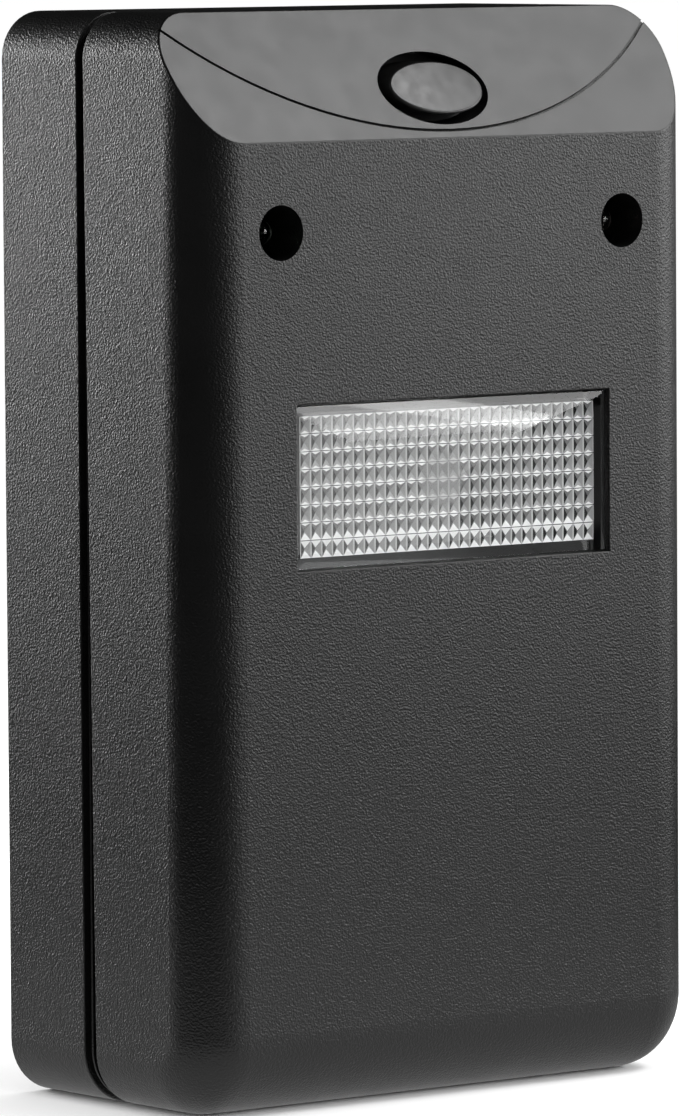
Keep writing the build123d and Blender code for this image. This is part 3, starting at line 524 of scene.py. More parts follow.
@dataclass(frozen=True)
class Panel:
    """A small soft light panel that faces the object.

    Azimuth 0 is straight in front of the object, and 90 is to its right. The glow is the panel's radiance.
    """

    name: str
    azimuth: float
    height: float
    glow: float
    distance: float = 0.4
    size: tuple[float, float] = (0.16, 0.10)
    aim: Point = (0.0, -0.018, -0.02)

    def build(self) -> None:
        """Makes the panel and turns it to the object."""
        azimuth = math.radians(self.azimuth)
        place = Vector((self.distance * math.sin(azimuth), -self.distance * math.cos(azimuth), self.height))
        light = bpy.data.lights.new(self.name, "AREA")
        light.shape = "RECTANGLE"
        light.size, light.size_y = self.size
        light.energy = self.glow * math.pi * self.size[0] * self.size[1]
        made = bpy.data.objects.new(self.name, light)
        made.location = place
        made.rotation_euler = (place - Vector(self.aim)).to_track_quat("Z", "Y").to_euler()
        made.visible_camera = False
        bpy.context.scene.collection.objects.link(made)


@dataclass
class Stage:
    """The floor, the panels, the soft surround and the camera."""

    floor_z: float
    floor_colour: Colour = (0.95, 0.95, 0.95)
    floor_near: float = 0.09
    floor_glow_near: float = 0.73
    floor_far: float = 0.4
    floor_glow_far: float = 0.19
    surround_light: float = 1.32
    surround_seen: float = 1.0
    surround_through: float = 1.0
    camera_azimuth: float = -38.196
    camera_elevation: float = 4.452
    camera_roll: float = -0.390
    camera_distance: float = 0.979253
    camera_target: Point = (0.011703, 0.0, -0.02087)
    lens_mm: float = 277.13
    panels: tuple[Panel, ...] = (
        Panel("front_low", 25, -0.02, 1.72),
        Panel("front_high", 25, 0.08, 5.46),
        Panel("corner_high", 45, 0.08, 4.41),
        Panel("right_low", 65, -0.02, 2.54),
        Panel("right_high", 65, 0.08, 7.03),
        Panel("right_top", 65, 0.30, 6.1),
        Panel("side_high", 85, 0.08, 1.9),
        Panel("left_top", -105, 0.30, 1.25),
        Panel("back_low", -165, -0.02, 5.8),
        Panel("back_high", -165, 0.08, 17.5),
        Panel("top_front", 35, 0.45, 14.7),
        Panel("top_right", 55, 0.45, 8.3),
    )

    def build(self) -> None:
        """Makes everything that isn't part of the object."""
        self.build_floor()
        self.build_surround()
        for panel in self.panels:
            panel.build()
        self.build_camera()
        bpy.context.scene.view_settings.view_transform = "Standard"

    def build_floor(self) -> None:
        """Lays a wide pale floor, which shows in glossy surfaces mostly where it is near the object."""
        bpy.ops.mesh.primitive_plane_add(size=60.0, location=(0, 0, self.floor_z))
        floor = bpy.context.object
        floor.name = "floor"
        sheet = Sheet("floor_paper")
        lighter = tuple(c * 1.01 for c in self.floor_colour)
        pale = sheet.blend(sheet.noise(0.4, 2.0), self.floor_colour, lighter)
        paper = sheet.node("BsdfPrincipled", Base_Color=pale)
        paper.inputs["Roughness"].default_value = 0.9
        paper.inputs["Specular IOR Level"].default_value = 0.0
        away = sheet.node("VectorMath", {"operation": "LENGTH"}, _0=sheet.place()).outputs["Value"]
        near = sheet.span(away, self.floor_near, self.floor_near + 0.02, self.floor_glow_near, 0.0)
        far = sheet.span(away, self.floor_far, self.floor_far + 0.1, 0.0, self.floor_glow_far)
        mirrored = sheet.node("Emission", Strength=sheet.math("ADD", near, far))
        glossy = sheet.node("LightPath").outputs["Is Glossy Ray"]
        mixed = sheet.node("MixShader", _0=glossy, _1=paper.outputs[0], _2=mirrored.outputs[0])
        floor.data.materials.append(sheet.finish(mixed))
        floor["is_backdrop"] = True

    def build_surround(self) -> None:
        """Sets the even light of the room, which is white behind the object and dark in glossy surfaces."""
        world = bpy.data.worlds.new("room")
        world.use_nodes = True
        tree = world.node_tree
        tree.nodes.clear()
        path = tree.nodes.new("ShaderNodeLightPath")
        background = tree.nodes.new("ShaderNodeBackground")
        strength = background.inputs["Strength"]
        strength.default_value = 0.0
        shares = {"Is Diffuse Ray": self.surround_light, "Is Camera Ray": self.surround_seen}
        shares["Is Transmission Ray"] = self.surround_through
        for ray, share in shares.items():
            part = tree.nodes.new("ShaderNodeMath")
            part.operation = "MULTIPLY_ADD"
            part.inputs[1].default_value = share
            part.inputs[2].default_value = 0.0
            tree.links.new(path.outputs[ray], part.inputs[0])
            if strength.is_linked:
                tree.links.new(strength.links[0].from_socket, part.inputs[2])
            tree.links.new(part.outputs[0], strength)
        output = tree.nodes.new("ShaderNodeOutputWorld")
        tree.links.new(background.outputs[0], output.inputs[0])
        bpy.context.scene.world = world

    def build_camera(self) -> None:
        """Places the camera by its direction, distance and roll about its own axis."""
        az, el = math.radians(self.camera_azimuth), math.radians(self.camera_elevation)
        out = Vector((math.sin(az) * math.cos(el), -math.cos(az) * math.cos(el), math.sin(el)))
        right = (-out).cross(Vector((0, 0, 1))).normalized()
        up = right.cross(-out)
        roll = math.radians(self.camera_roll)
        across = right * math.cos(roll) + up * math.sin(roll)
        upward = up * math.cos(roll) - right * math.sin(roll)
        turn = Matrix((across, upward, out)).transposed()
        camera = bpy.data.cameras.new("camera")
        camera.lens = self.lens_mm
        camera.clip_end = 200.0
        made = bpy.data.objects.new("camera", camera)
        place = Vector(self.camera_target) + out * self.camera_distance
        made.matrix_world = Matrix.Translation(place) @ turn.to_4x4()
        bpy.context.scene.collection.objects.link(made)
        bpy.context.scene.camera = made


# ---------------------------------------------------------------------------------------------------------
# The bench: hand tools for new pieces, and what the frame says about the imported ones
# ---------------------------------------------------------------------------------------------------------


def put_down_all() -> None:
    """Leaves nothing selected, so that the next operator acts on the new piece alone."""
    if bpy.context.object and bpy.context.object.mode != "OBJECT":
        bpy.ops.object.mode_set(mode="OBJECT")
    bpy.ops.object.select_all(action="DESELECT")


def solids_of(node: str) -> list[Box]:
    """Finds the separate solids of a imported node.

    Args:
        node: The node's name.

    Returns:
        The lowest and highest corner of each solid, ordered by height and then from left to right.
    """
    mesh = bmesh.new()
    mesh.from_mesh(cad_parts[node].data)
    bmesh.ops.remove_doubles(mesh, verts=mesh.verts, dist=0.005 * MM)
    left, found = set(mesh.verts), []
    while left:
        waiting, members = [left.pop()], []
        while waiting:
            vert = waiting.pop()
            members.append(vert.co.copy())
            near = {edge.other_vert(vert) for edge in vert.link_edges} & left
            left -= near
            waiting += near
        low = Vector([min(point[axis] for point in members) for axis in range(3)])
        high = Vector([max(point[axis] for point in members) for axis in range(3)])
        found.append((low, high))
    mesh.free()
    return sorted(found, key=lambda box: (-round(box[1].z, 5), round(box[0].x, 5)))


def middle(box: Box) -> Vector:
    """The middle of a box."""
    return (box[0] + box[1]) / 2


def face_outwards() -> None:
    """Turns every face of the piece in edit mode outwards, so that its volume is positive."""
    bpy.ops.mesh.select_all(action="SELECT")
    bpy.ops.mesh.remove_doubles(threshold=0.001 * MM)
    bpy.ops.mesh.normals_make_consistent(inside=False)
    if bmesh.from_edit_mesh(bpy.context.object.data).calc_volume(signed=True) < 0:
        bpy.ops.mesh.flip_normals()


class Bench:
    """One piece on the bench: a mesh that starts as a primitive and is shaped in edit mode."""

    def __init__(self, kind: str, name: str, **settings: object) -> None:
        """Adds the starting shape at its size and place.

        Args:
            kind: Which primitive it starts from.
            name: The piece's name.
            settings: The primitive's own settings.
        """
        put_down_all()
        scale = settings.pop("scale", (1, 1, 1))
        getattr(bpy.ops.mesh, f"primitive_{kind}_add")(**settings)
        self.piece = bpy.context.object
        self.piece.scale = scale
        self.piece.name = self.piece.data.name = name
        bpy.ops.object.transform_apply(location=True, rotation=True, scale=True)
        bpy.ops.object.mode_set(mode="EDIT")

    def pick(self, test: Callable[[Vector, Vector], bool]) -> None:
        """Selects the faces whose middle and normal pass a test.

        Args:
            test: Given a face's middle and its normal, says whether it is meant.
        """
        bpy.ops.mesh.select_mode(type="FACE")
        bpy.ops.mesh.select_all(action="DESELECT")
        mesh = bmesh.from_edit_mesh(self.piece.data)
        for face in mesh.faces:
            face.select_set(test(face.calc_center_median(), face.normal))
        bmesh.update_edit_mesh(self.piece.data)

    def pick_edges(self, test: Callable[[Vector, Vector], bool]) -> None:
        """Selects the edges whose two ends pass a test.

        Args:
            test: Given the two ends, says whether the edge is meant.
        """
        bpy.ops.mesh.select_mode(type="EDGE")
        bpy.ops.mesh.select_all(action="DESELECT")
        mesh = bmesh.from_edit_mesh(self.piece.data)
        for edge in mesh.edges:
            edge.select_set(test(edge.verts[0].co, edge.verts[1].co))
        bmesh.update_edit_mesh(self.piece.data)

    def pick_end(self, direction: Sequence[float]) -> None:
        """Selects the flat faces that face one way and lie furthest that way.

        Args:
            direction: The way.
        """
        way = Vector(direction)
        mesh = bmesh.from_edit_mesh(self.piece.data)
        furthest = max(vert.co.dot(way) for vert in mesh.verts)
        self.pick(lambda at, normal: normal.dot(way) > 0.99 and at.dot(way) > furthest - 0.005 * MM)

    def extrude(self, x: float = 0.0, y: float = 0.0, z: float = 0.0) -> None:
        """Extrudes what is selected and moves it."""
        bpy.ops.mesh.extrude_region_move(TRANSFORM_OT_translate={"value": (x, y, z)})

    def resize(self, factors: Sequence[float], about: Vector) -> None:
        """Scales what is selected about a point."""
        bpy.ops.transform.resize(value=tuple(factors), center_override=tuple(about))

    def inset(self, width: float, each: bool = False) -> None:
        """Insets what is selected, all together or each face alone."""
        bpy.ops.mesh.inset(thickness=width, use_individual=each)

    def bevel(self, width: float, segments: int = 2) -> None:
        """Rounds the selected edges."""
        bpy.ops.mesh.bevel(offset=width, segments=segments, affect="EDGES")

    def slice(self, at: Sequence[float], normal: Sequence[float]) -> None:
        """Cuts a ring of edges all round the piece where a plane passes through it."""
        bpy.ops.mesh.select_all(action="SELECT")
        bpy.ops.mesh.bisect(plane_co=tuple(at), plane_no=tuple(normal))

    def paint(self, test: Callable[[Vector, Vector], bool], material: Material) -> None:
        """Gives the faces that pass a test a finish of their own.

        Args:
            test: Given a face's middle and its normal, says whether it is meant.
            material: The finish.
        """
        slots = self.piece.data.materials
        if material.name not in slots:
            slots.append(material)
        mesh = bmesh.from_edit_mesh(self.piece.data)
        for face in mesh.faces:
            if test(face.calc_center_median(), face.normal):
                face.material_index = slots.find(material.name)
        bmesh.update_edit_mesh(self.piece.data)

    def done(self, angle: float = 35.0) -> Piece:
        """Closes edit mode, turns every face outwards and smooths the round faces.

        Args:
            angle: Edges flatter than this many degrees look smooth.

        Returns:
            The finished piece.
        """
        face_outwards()
        bpy.ops.object.mode_set(mode="OBJECT")
        bpy.ops.object.shade_smooth_by_angle(angle=math.radians(angle))
        bpy.ops.object.select_all(action="DESELECT")
        return self.piece


def apply_modifier(piece: Piece, kind: str, settings: dict) -> None:
    """Adds one modifier to a piece and applies it.

    Args:
        piece: The piece.
        kind: The modifier's type.
        settings: The modifier's own settings.
    """
    put_down_all()
    piece.select_set(True)
    bpy.context.view_layer.objects.active = piece
    modifier = piece.modifiers.new(kind.lower(), kind)
    for key, value in settings.items():
        setattr(modifier, key, value)
    bpy.ops.object.modifier_apply(modifier=modifier.name)
    put_down_all()


def copy_of(piece: Piece, move: Matrix) -> Piece:
    """Copies a piece with its own mesh and moves the mesh.

    Args:
        piece: The piece.
        move: How the mesh is moved.

    Returns:
        The copy.
    """
    made = piece.copy()
    made.data = piece.data.copy()
    made.data.transform(move)
    bpy.context.scene.collection.objects.link(made)
    return made


def join(pieces: Sequence[Piece], name: str) -> Piece:
    """Makes one object of several meshes, which stay separate solids in it.

    Args:
        pieces: The meshes.
        name: The name of what they make.

    Returns:
        The joined piece.
    """
    put_down_all()
    for piece in pieces:
        piece.select_set(True)
    bpy.context.view_layer.objects.active = pieces[0]
    if len(pieces) > 1:
        bpy.ops.object.join()
    pieces[0].name = pieces[0].data.name = name
    put_down_all()
    return pieces[0]


def fit(piece: Piece, replaces: str = "", body: str = HOUSING) -> None:
    """Mounts a finished piece on the object and reports it.

    Args:
        piece: The piece.
        replaces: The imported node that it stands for, if any.
        body: The body that it moves with.
    """
    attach(piece, body)
    if replaces:
        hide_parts(replaces)
    log.info("%s: %d faces, rides on %s", piece.name, len(piece.data.polygons), body)


# ---------------------------------------------------------------------------------------------------------
# Window and lights
# ---------------------------------------------------------------------------------------------------------


@dataclass
class WindowLens:
    """The clear pane in the window, with a field of small pyramids on its back."""

    columns: int = PrismPlasticWithPaintedLight.columns
    rows: int = PrismPlasticWithPaintedLight.rows
    flange: float = 2.4 * MM
    clearance: float = 0.17 * MM
    pad_border: float = 1.33 * MM
    pad_thickness: float = 1.0 * MM
    flange_thickness: float = 1.2 * MM
    groove: float = 0.12 * MM
    pane_thickness: float = 1.2 * MM
    prism_depth: float = 0.3 * MM
    rim: float = 0.12 * MM

    @classmethod
    def field(cls) -> tuple[Vector, Vector, float]:
        """Where the field of pyramids is.

        Returns:
            Its middle, its half sizes, and a depth between it and the front of the pane.
        """
        low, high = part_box("window_lens")
        half = (high - low) / 2
        edge = cls.flange + cls.pad_border
        return (low + high) / 2, Vector((half.x - edge, 1, half.z - edge)), low.y + cls.pane_thickness / 2

    def build(self, finish: Material) -> Piece:
        """Makes the pane from the pyramid field outwards.

        Args:
            finish: The clear plastic.

        Returns:
            The pane.
        """
        low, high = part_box("window_lens")
        centre, half = (low + high) / 2, (high - low) / 2
        window = Vector((half.x - self.flange, 0, half.z - self.flange))
        pad = Vector((window.x - self.pad_border, 1, window.z - self.pad_border))
        pane = Vector((window.x - self.clearance, 1, window.z - self.clearance))
        floor_y = low.y + self.pane_thickness
        work = Bench(
            "grid",
            "prism_lens",
            x_subdivisions=self.columns,
            y_subdivisions=self.rows,
            size=1.0,
            location=(centre.x, floor_y, centre.z),
            rotation=(-math.pi / 2, 0, 0),
            scale=(2 * pad.x, 2 * pad.z, 1),
        )
        bpy.ops.mesh.select_all(action="SELECT")
        work.inset(self.groove / 2, each=True)
        bpy.ops.mesh.poke(offset=self.prism_depth, use_relative_offset=False)
        work.pick_edges(lambda a, b: self.on_border(a, b, centre, pad))
        flange_back = high.y - self.pad_thickness
        flange_front = flange_back - self.flange_thickness
        work.extrude(y=flange_back - floor_y)
        work.extrude()
        work.resize((half.x / pad.x, 1, half.z / pad.z), centre)
        work.extrude(y=flange_front - flange_back)
        work.extrude()
        work.resize((pane.x / half.x, 1, pane.z / half.z), centre)
        work.extrude(y=low.y - flange_front)
        bpy.ops.mesh.edge_face_add()
        work.pick_edges(lambda a, b: max(a.y, b.y) < low.y + NEAR)
        work.bevel(self.rim, 3)
        piece = work.done(20)
        piece.data.materials.append(finish)
        fit(piece, "window_lens")
        return piece

    @staticmethod
    def on_border(a: Vector, b: Vector, centre: Vector, half: Vector) -> bool:
        """Whether an edge lies along one side of the rectangle round the field.

        Args:
            a: One end of the edge.
            b: The other end.
            centre: The middle of the field.
            half: Half its sizes.

        Returns:
            True for an edge on the rectangle.
        """
        beside = all(abs(abs(point.x - centre.x) - half.x) < NEAR for point in (a, b))
        above = all(abs(abs(point.z - centre.z) - half.z) < NEAR for point in (a, b))
        return beside or above


class Glow(Enum):
    """The colours of light that the lamps' dies give."""

    WHITE = (0.85, 0.8, 0.45)
    GREEN = (0.25, 0.5, 0.2)
    RED = (0.6, 0.12, 0.08)


@dataclass
class LampFrame:
    """The metal frame inside a clear lamp: an anvil with a bowl for the die, a post, and the die."""

    node: str
    glow: Glow
    lead_spacing: float = 2.54 * MM
    share_up: float = 0.5
    bowl_share: float = 0.3
    post_share: float = 0.1

    def build(self, metal: Material, die: Material) -> None:
        """Makes the anvil, the post and the die.

        Args:
            metal: The finish of the frame.
            die: The finish of the die.
        """
        low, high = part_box(self.node)
        at = (low + high) / 2
        radius = (high.x - low.x) / 2
        tip = high.y - (high.y - low.y) * self.share_up
        thick = radius * self.post_share
        pieces = [
            self.bowl(at, tip, radius * self.bowl_share),
            self.post(at, tip + radius * 0.4, high.y, -self.lead_spacing / 2, radius * 0.36, thick, 1.0),
            self.post(at, tip + radius * 0.1, high.y, self.lead_spacing / 2, radius * 0.16, thick, 0.35),
        ]
        anvil = join(pieces, f"{self.node}_frame")
        anvil.data.materials.clear()
        anvil.data.materials.append(metal)
        fit(anvil)
        chip = self.die(at, tip, radius * self.bowl_share)
        chip.data.materials.append(die)
        fit(chip)

    def bowl(self, at: Vector, tip: float, radius: float) -> Piece:
        """Makes the bowl: a short rod with a cone sunk into its front.

        Args:
            at: The middle of the lamp.
            tip: Where the bowl's mouth lies along Y.
            radius: The bowl's outer radius.

        Returns:
            The bowl.
        """
        height = radius * 1.6
        place = (at.x, tip + height / 2, at.z)
        shape = {"vertices": 32, "radius": radius, "depth": height}
        work = Bench("cylinder", "bowl", location=place, rotation=ALONG_Y, **shape)
        work.pick_end((0, -1, 0))
        work.inset(radius * 0.15)
        work.extrude(y=height * 0.5)
        work.resize((0.5, 1, 0.5), at)
        return work.done()

    def post(
        self, at: Vector, front: float, back: float, shift: float, width: float, thick: float, lean: float
    ) -> Piece:
        """Makes a flat post that stands on its lead and leans in to the middle at its front.

        Args:
            at: The middle of the lamp.
            front: Where the post's front lies along Y.
            back: Where its foot lies.
            shift: How far its lead is from the middle.
            width: How wide its front is.
            thick: Half its thickness.
            lean: How far its front leans in, as a share of the way to the middle.

        Returns:
            The post.
        """
        foot = self.lead_spacing * 0.1
        place = (at.x + shift, back, at.z)
        work = Bench("cube", "post", size=1.0, location=place, scale=(2 * foot, foot, 2 * thick))
        work.pick_end((0, -1, 0))
        work.extrude(y=(front - back) * 0.45)
        work.extrude(x=-shift * lean, y=(front - back) * 0.25)
        end = Vector((at.x + shift * (1 - lean), 0, at.z))
        work.resize((width / foot, 1, 1), end)
        work.extrude(y=(front - back) * 0.3 + foot)
        work.pick_edges(lambda a, b: abs(a.y - b.y) < 0.001 * MM and a.y < back - foot)
        work.bevel(thick * 0.3)
        return work.done()

    def die(self, at: Vector, tip: float, radius: float) -> Piece:
        """Makes the die, a small square block with a bevelled top on the floor of the bowl.

        Args:
            at: The middle of the lamp.
            tip: Where the bowl's mouth lies along Y.
            radius: The bowl's outer radius.

        Returns:
            The die.
        """
        side = radius * 0.55
        place = (at.x, tip + radius * 0.8 - side * 0.35, at.z)
        work = Bench("cube", f"{self.node}_die", size=side, location=place, scale=(1, 0.7, 1))
        work.pick_end((0, -1, 0))
        work.inset(side * 0.12)
        work.extrude(y=-side * 0.1)
        return work.done()


# ---------------------------------------------------------------------------------------------------------
# Board work
# ---------------------------------------------------------------------------------------------------------


@dataclass
class BoardWork:
    """What is on the bare board: solder joints, printed tracks and the pads under them."""

    pad_radius: float = 0.95 * MM
    pad_height: float = 0.06 * MM
    joint_height: float = 0.75 * MM
    joint_steps: tuple[tuple[float, float], ...] = (
        (0.12, 0.72),
        (0.2, 0.72),
        (0.3, 0.78),
        (0.3, 0.85),
        (0.08, 0.6),
    )
    track_width: float = 0.8 * MM
    track_height: float = 0.04 * MM

    def build(self, solder: Material, copper: Material) -> None:
        """Dresses both faces of the board.

        Args:
            solder: The finish of the joints.
            copper: The finish of the tracks under their green lacquer.
        """
        low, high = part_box("circuit_board")
        back, front = [], []
        for node in ("night_lamp_leads", "indicator_leads", "switch_pins"):
            back += [middle(box) for box in solids_of(node)]
        for node in ("film_capacitor", "smoothing_capacitor", "timing_capacitor", "bridge_rectifier"):
            front += self.feet(middle(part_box(node)))
        for node in ("resistors", "diodes"):
            for box in solids_of(node):
                front += self.ends(box)
        self.joints(back, high.y, 1, "solder_joints_back", solder)
        self.joints(front, low.y, -1, "solder_joints_front", solder)
        self.tracks(back, high.y, 1, "tracks_back", copper)
        self.tracks(front, low.y, -1, "tracks_front", copper)

    @staticmethod
    def feet(at: Vector, half: float = 2.5 * MM) -> list[Vector]:
        """The two feet of a part that stands on the board."""
        return [at + Vector((side * half, 0, 0)) for side in (-1, 1)]

    @staticmethod
    def ends(box: Box, inset: float = 0.6 * MM) -> list[Vector]:
        """The places where the two leads of a lying part pass through the board."""
        at = middle(box)
        return [Vector((box[0].x + inset, at.y, at.z)), Vector((box[1].x - inset, at.y, at.z))]

    def joints(
        self, places: list[Vector], face_y: float, side: int, name: str, solder: Material
    ) -> None:
        """Makes one solder joint, a small hollow-sided cone on a pad, and copies it to every lead.

        Args:
            places: Where the leads are.
            face_y: Where the face of the board is.
            side: 1 on the back of the board, and -1 on its front.
            name: The name of the group.
            solder: Its finish.
        """
        pad = self.pad_height
        at = Vector((0, face_y + side * pad / 2, 0))
        shape = {"vertices": 20, "radius": self.pad_radius, "depth": pad}
        work = Bench("cylinder", "joint", location=at, rotation=ALONG_Y, **shape)
        work.pick_end((0, side, 0))
        for rise, shrink in self.joint_steps:
            work.extrude(y=side * self.joint_height * rise)
            work.resize((shrink, 1, shrink), Vector((0, 0, 0)))
        first = work.done(60)
        first.data.materials.append(solder)
        copies = [copy_of(first, Matrix.Translation((place.x, 0, place.z))) for place in places]
        bpy.data.objects.remove(first)
        fit(join(copies, name))

    def tracks(
        self, places: list[Vector], face_y: float, side: int, name: str, copper: Material
    ) -> None:
        """Prints a square-cornered track from each joint to the next one but one.

        Args:
            places: Where the joints are.
            face_y: Where the face of the board is.
            side: 1 on the back of the board, and -1 on its front.
            name: The name of the group.
            copper: Its finish.
        """
        strips = []
        for start, end in zip(places, places[2:]):
            strips.append(self.strip(start, end, face_y, side))
        piece = join(strips, name)
        piece.data.materials.append(copper)
        fit(piece)

    def strip(self, start: Vector, end: Vector, face_y: float, side: int) -> Piece:
        """Makes one track: along X first, then along Z.

        Args:
            start: The joint that it starts from.
            end: The joint that it runs to.
            face_y: Where the face of the board is.
            side: 1 on the back of the board, and -1 on its front.

        Returns:
            The track.
        """
        width, high = self.track_width, self.track_height
        place = (start.x, face_y + side * high / 2, start.z)
        work = Bench("cube", "strip", size=1.0, location=place, scale=(width, high, width))
        across, along = end.x - start.x, end.z - start.z
        if abs(across) > width:
            way = math.copysign(1, across)
            work.pick_end((way, 0, 0))
            work.extrude(x=across - way * width)
            work.extrude(x=way * width)
        if abs(along) > width:
            way = math.copysign(1, along)
            work.pick(lambda at, normal: normal.z * way > 0.99 and abs(at.x - end.x) < width)
            work.extrude(z=along)
        work.pick_edges(lambda a, b: min(side * a.y, side * b.y) > side * face_y + high * 0.9)
        work.bevel(high * 0.4, 1)
        return work.done()


@dataclass
class CanCapacitor:
    """A round capacitor in a printed sleeve, with its bare scored top."""

    node: str
    rim: float = 0.55 * MM
    groove_height: float = 1.9 * MM
    groove_depth: float = 0.35 * MM
    stripe_half_angle: float = 28.0

    def build(self, sleeve: Material, stripe: Material, metal: Material) -> None:
        """Makes the can.

        Args:
            sleeve: The finish of the sleeve.
            stripe: The finish of the stripe that marks the negative lead.
            metal: The finish of the bare top.
        """
        low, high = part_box(self.node)
        at, radius, tall = (low + high) / 2, (high.x - low.x) / 2, high.y - low.y
        shape = {"vertices": 64, "radius": radius, "depth": tall}
        work = Bench("cylinder", f"sleeved_{self.node}", location=at, rotation=ALONG_Y, **shape)
        for level in (-0.5, 0.0, 0.5):
            work.slice((0, low.y + self.groove_height + level * 2 * self.groove_depth, 0), (0, 1, 0))
        ring_y = low.y + self.groove_height
        work.pick_edges(lambda a, b: abs(a.y - ring_y) < NEAR and abs(b.y - ring_y) < NEAR)
        shrink = (radius - self.groove_depth) / radius
        work.resize((shrink, 1, shrink), at)
        work.pick_end((0, 1, 0))
        work.inset(self.rim)
        work.extrude(y=-0.25 * MM)
        work.inset(0.15 * MM)
        work.extrude(y=0.12 * MM)
        work.pick_edges(lambda a, b: min(a.y, b.y) > high.y - NEAR)
        work.bevel(0.2 * MM, 3)
        limit = math.cos(math.radians(self.stripe_half_angle))
        work.paint(lambda place, normal: True, sleeve)
        stripe_y = ring_y + self.groove_depth
        work.paint(lambda place, normal: normal.x > limit and place.y > stripe_y, stripe)
        inner = radius - self.rim - 0.05 * MM
        work.paint(lambda place, normal: normal.y > 0.9 and self.on_top(place, at, inner, tall), metal)
        piece = work.done()
        score = [self.score(at, high.y - 0.13 * MM, inner, quarter, metal) for quarter in (0, 1)]
        fit(join([piece, *score], f"sleeved_{self.node}"), self.node)

    @staticmethod
    def on_top(place: Vector, at: Vector, radius: float, tall: float) -> bool:
        """Whether a point of the can lies inside a circle about its middle."""
        return (place - at).length < tall and math.hypot(place.x - at.x, place.z - at.z) < radius

    @staticmethod
    def score(at: Vector, top: float, reach: float, quarter: int, metal: Material) -> Piece:
        """Makes one line of the cross on the top: a thin ridge with bevelled sides.

        Args:
            at: The can's middle.
            top: Where the ridge lies along Y.
            reach: The radius of the bare top.
            quarter: 1 for the line along X and 0 for the line along Z.
            metal: The finish of the line.

        Returns:
            The line.
        """
        size = (1.3 * reach, 0.1 * MM, 0.16 * MM)
        size = size if quarter else size[::-1]
        work = Bench("cube", "score", size=1.0, location=(at.x, top, at.z), scale=size)
        work.pick_end((0, 1, 0))
        work.inset(0.04 * MM)
        work.extrude(y=0.02 * MM)
        work.paint(lambda place, normal: True, metal)
        return work.done()


@dataclass
class PlainBlock:
    """A moulded block on the board: rounded edges, a shallow panel in its top and feet under it."""

    node: str
    slot: str
    corner: float = 0.5 * MM
    panel: float = 0.9 * MM
    panel_depth: float = 0.12 * MM

    def build(self, finish: Material) -> None:
        """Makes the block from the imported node's box.

        Args:
            finish: The finish of the block.
        """
        low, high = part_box(self.node)
        work = Bench("cube", f"moulded_{self.node}", size=1.0, location=(low + high) / 2, scale=high - low)
        bpy.ops.mesh.select_mode(type="EDGE")
        bpy.ops.mesh.select_all(action="SELECT")
        work.bevel(self.corner, 4)
        work.pick_end((0, 1, 0))
        work.inset(self.panel)
        work.extrude(y=-self.panel_depth)
        work.resize((0.98, 1, 0.98), (low + high) / 2)
        work.pick_end((0, -1, 0))
        work.inset(self.panel)
        work.extrude(y=2 * self.panel_depth)
        piece = work.done()
        piece.data.materials.append(finish)
        fit(piece, self.node)


@dataclass
class WoundCoil:
    """The driver coil's winding: turns of lacquered wire side by side on the drum."""

    wire_radius: float = 0.22 * MM

    def build(self, copper: Material) -> None:
        """Makes one turn and copies it along the drum, each copy a little slack.

        Args:
            copper: The finish of the wire.
        """
        low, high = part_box("coil_winding")
        at, outer = (low + high) / 2, (high.x - low.x) / 2
        pitch = 2 * self.wire_radius
        turns = int((high.y - low.y) / pitch)
        work = Bench(
            "torus",
            "turn",
            major_segments=40,
            minor_segments=8,
            major_radius=outer - self.wire_radius,
            minor_radius=self.wire_radius,
            location=(at.x, low.y + self.wire_radius, at.z),
            rotation=ALONG_Y,
        )
        first = work.done(80)
        first.data.materials.append(copper)
        copies = []
        for step in range(turns):
            slack = 1 - 0.012 * math.sin(2.4 * step) ** 2
            centre = Matrix.Translation((at.x, 0, at.z))
            shrink = centre @ Matrix.Diagonal((slack, 1, slack, 1)) @ centre.inverted()
            copies.append(copy_of(first, Matrix.Translation((0, step * pitch, 0)) @ shrink))
        bpy.data.objects.remove(first)
        drum = self.filler(at, low.y, high.y, outer - 1.6 * self.wire_radius, copper)
        fit(join([*copies, drum], "wound_coil"), "coil_winding")

    @staticmethod
    def filler(at: Vector, low: float, high: float, radius: float, copper: Material) -> Piece:
        """Makes the solid mass of the inner layers, sunk a little at both ends.

        Args:
            at: The drum's middle.
            low: Where the winding starts along Y.
            high: Where it ends.
            radius: The radius of the mass.
            copper: Its finish.

        Returns:
            The mass.
        """
        place = (at.x, (low + high) / 2, at.z)
        shape = {"vertices": 40, "radius": radius, "depth": high - low}
        work = Bench("cylinder", "layers", location=place, rotation=ALONG_Y, **shape)
        for way in (1, -1):
            work.pick_end((0, way, 0))
            work.inset(0.2 * MM)
            work.extrude(y=-way * 0.1 * MM)
        work.paint(lambda spot, normal: True, copper)
        return work.done()


class Band(Enum):
    """The paint of the bands on axial parts."""

    BROWN = (0.10, 0.035, 0.015)
    BLACK = (0.01, 0.01, 0.01)
    RED = (0.5, 0.02, 0.02)
    GOLD = (0.55, 0.38, 0.12)
    SILVER = (0.65, 0.65, 0.65)


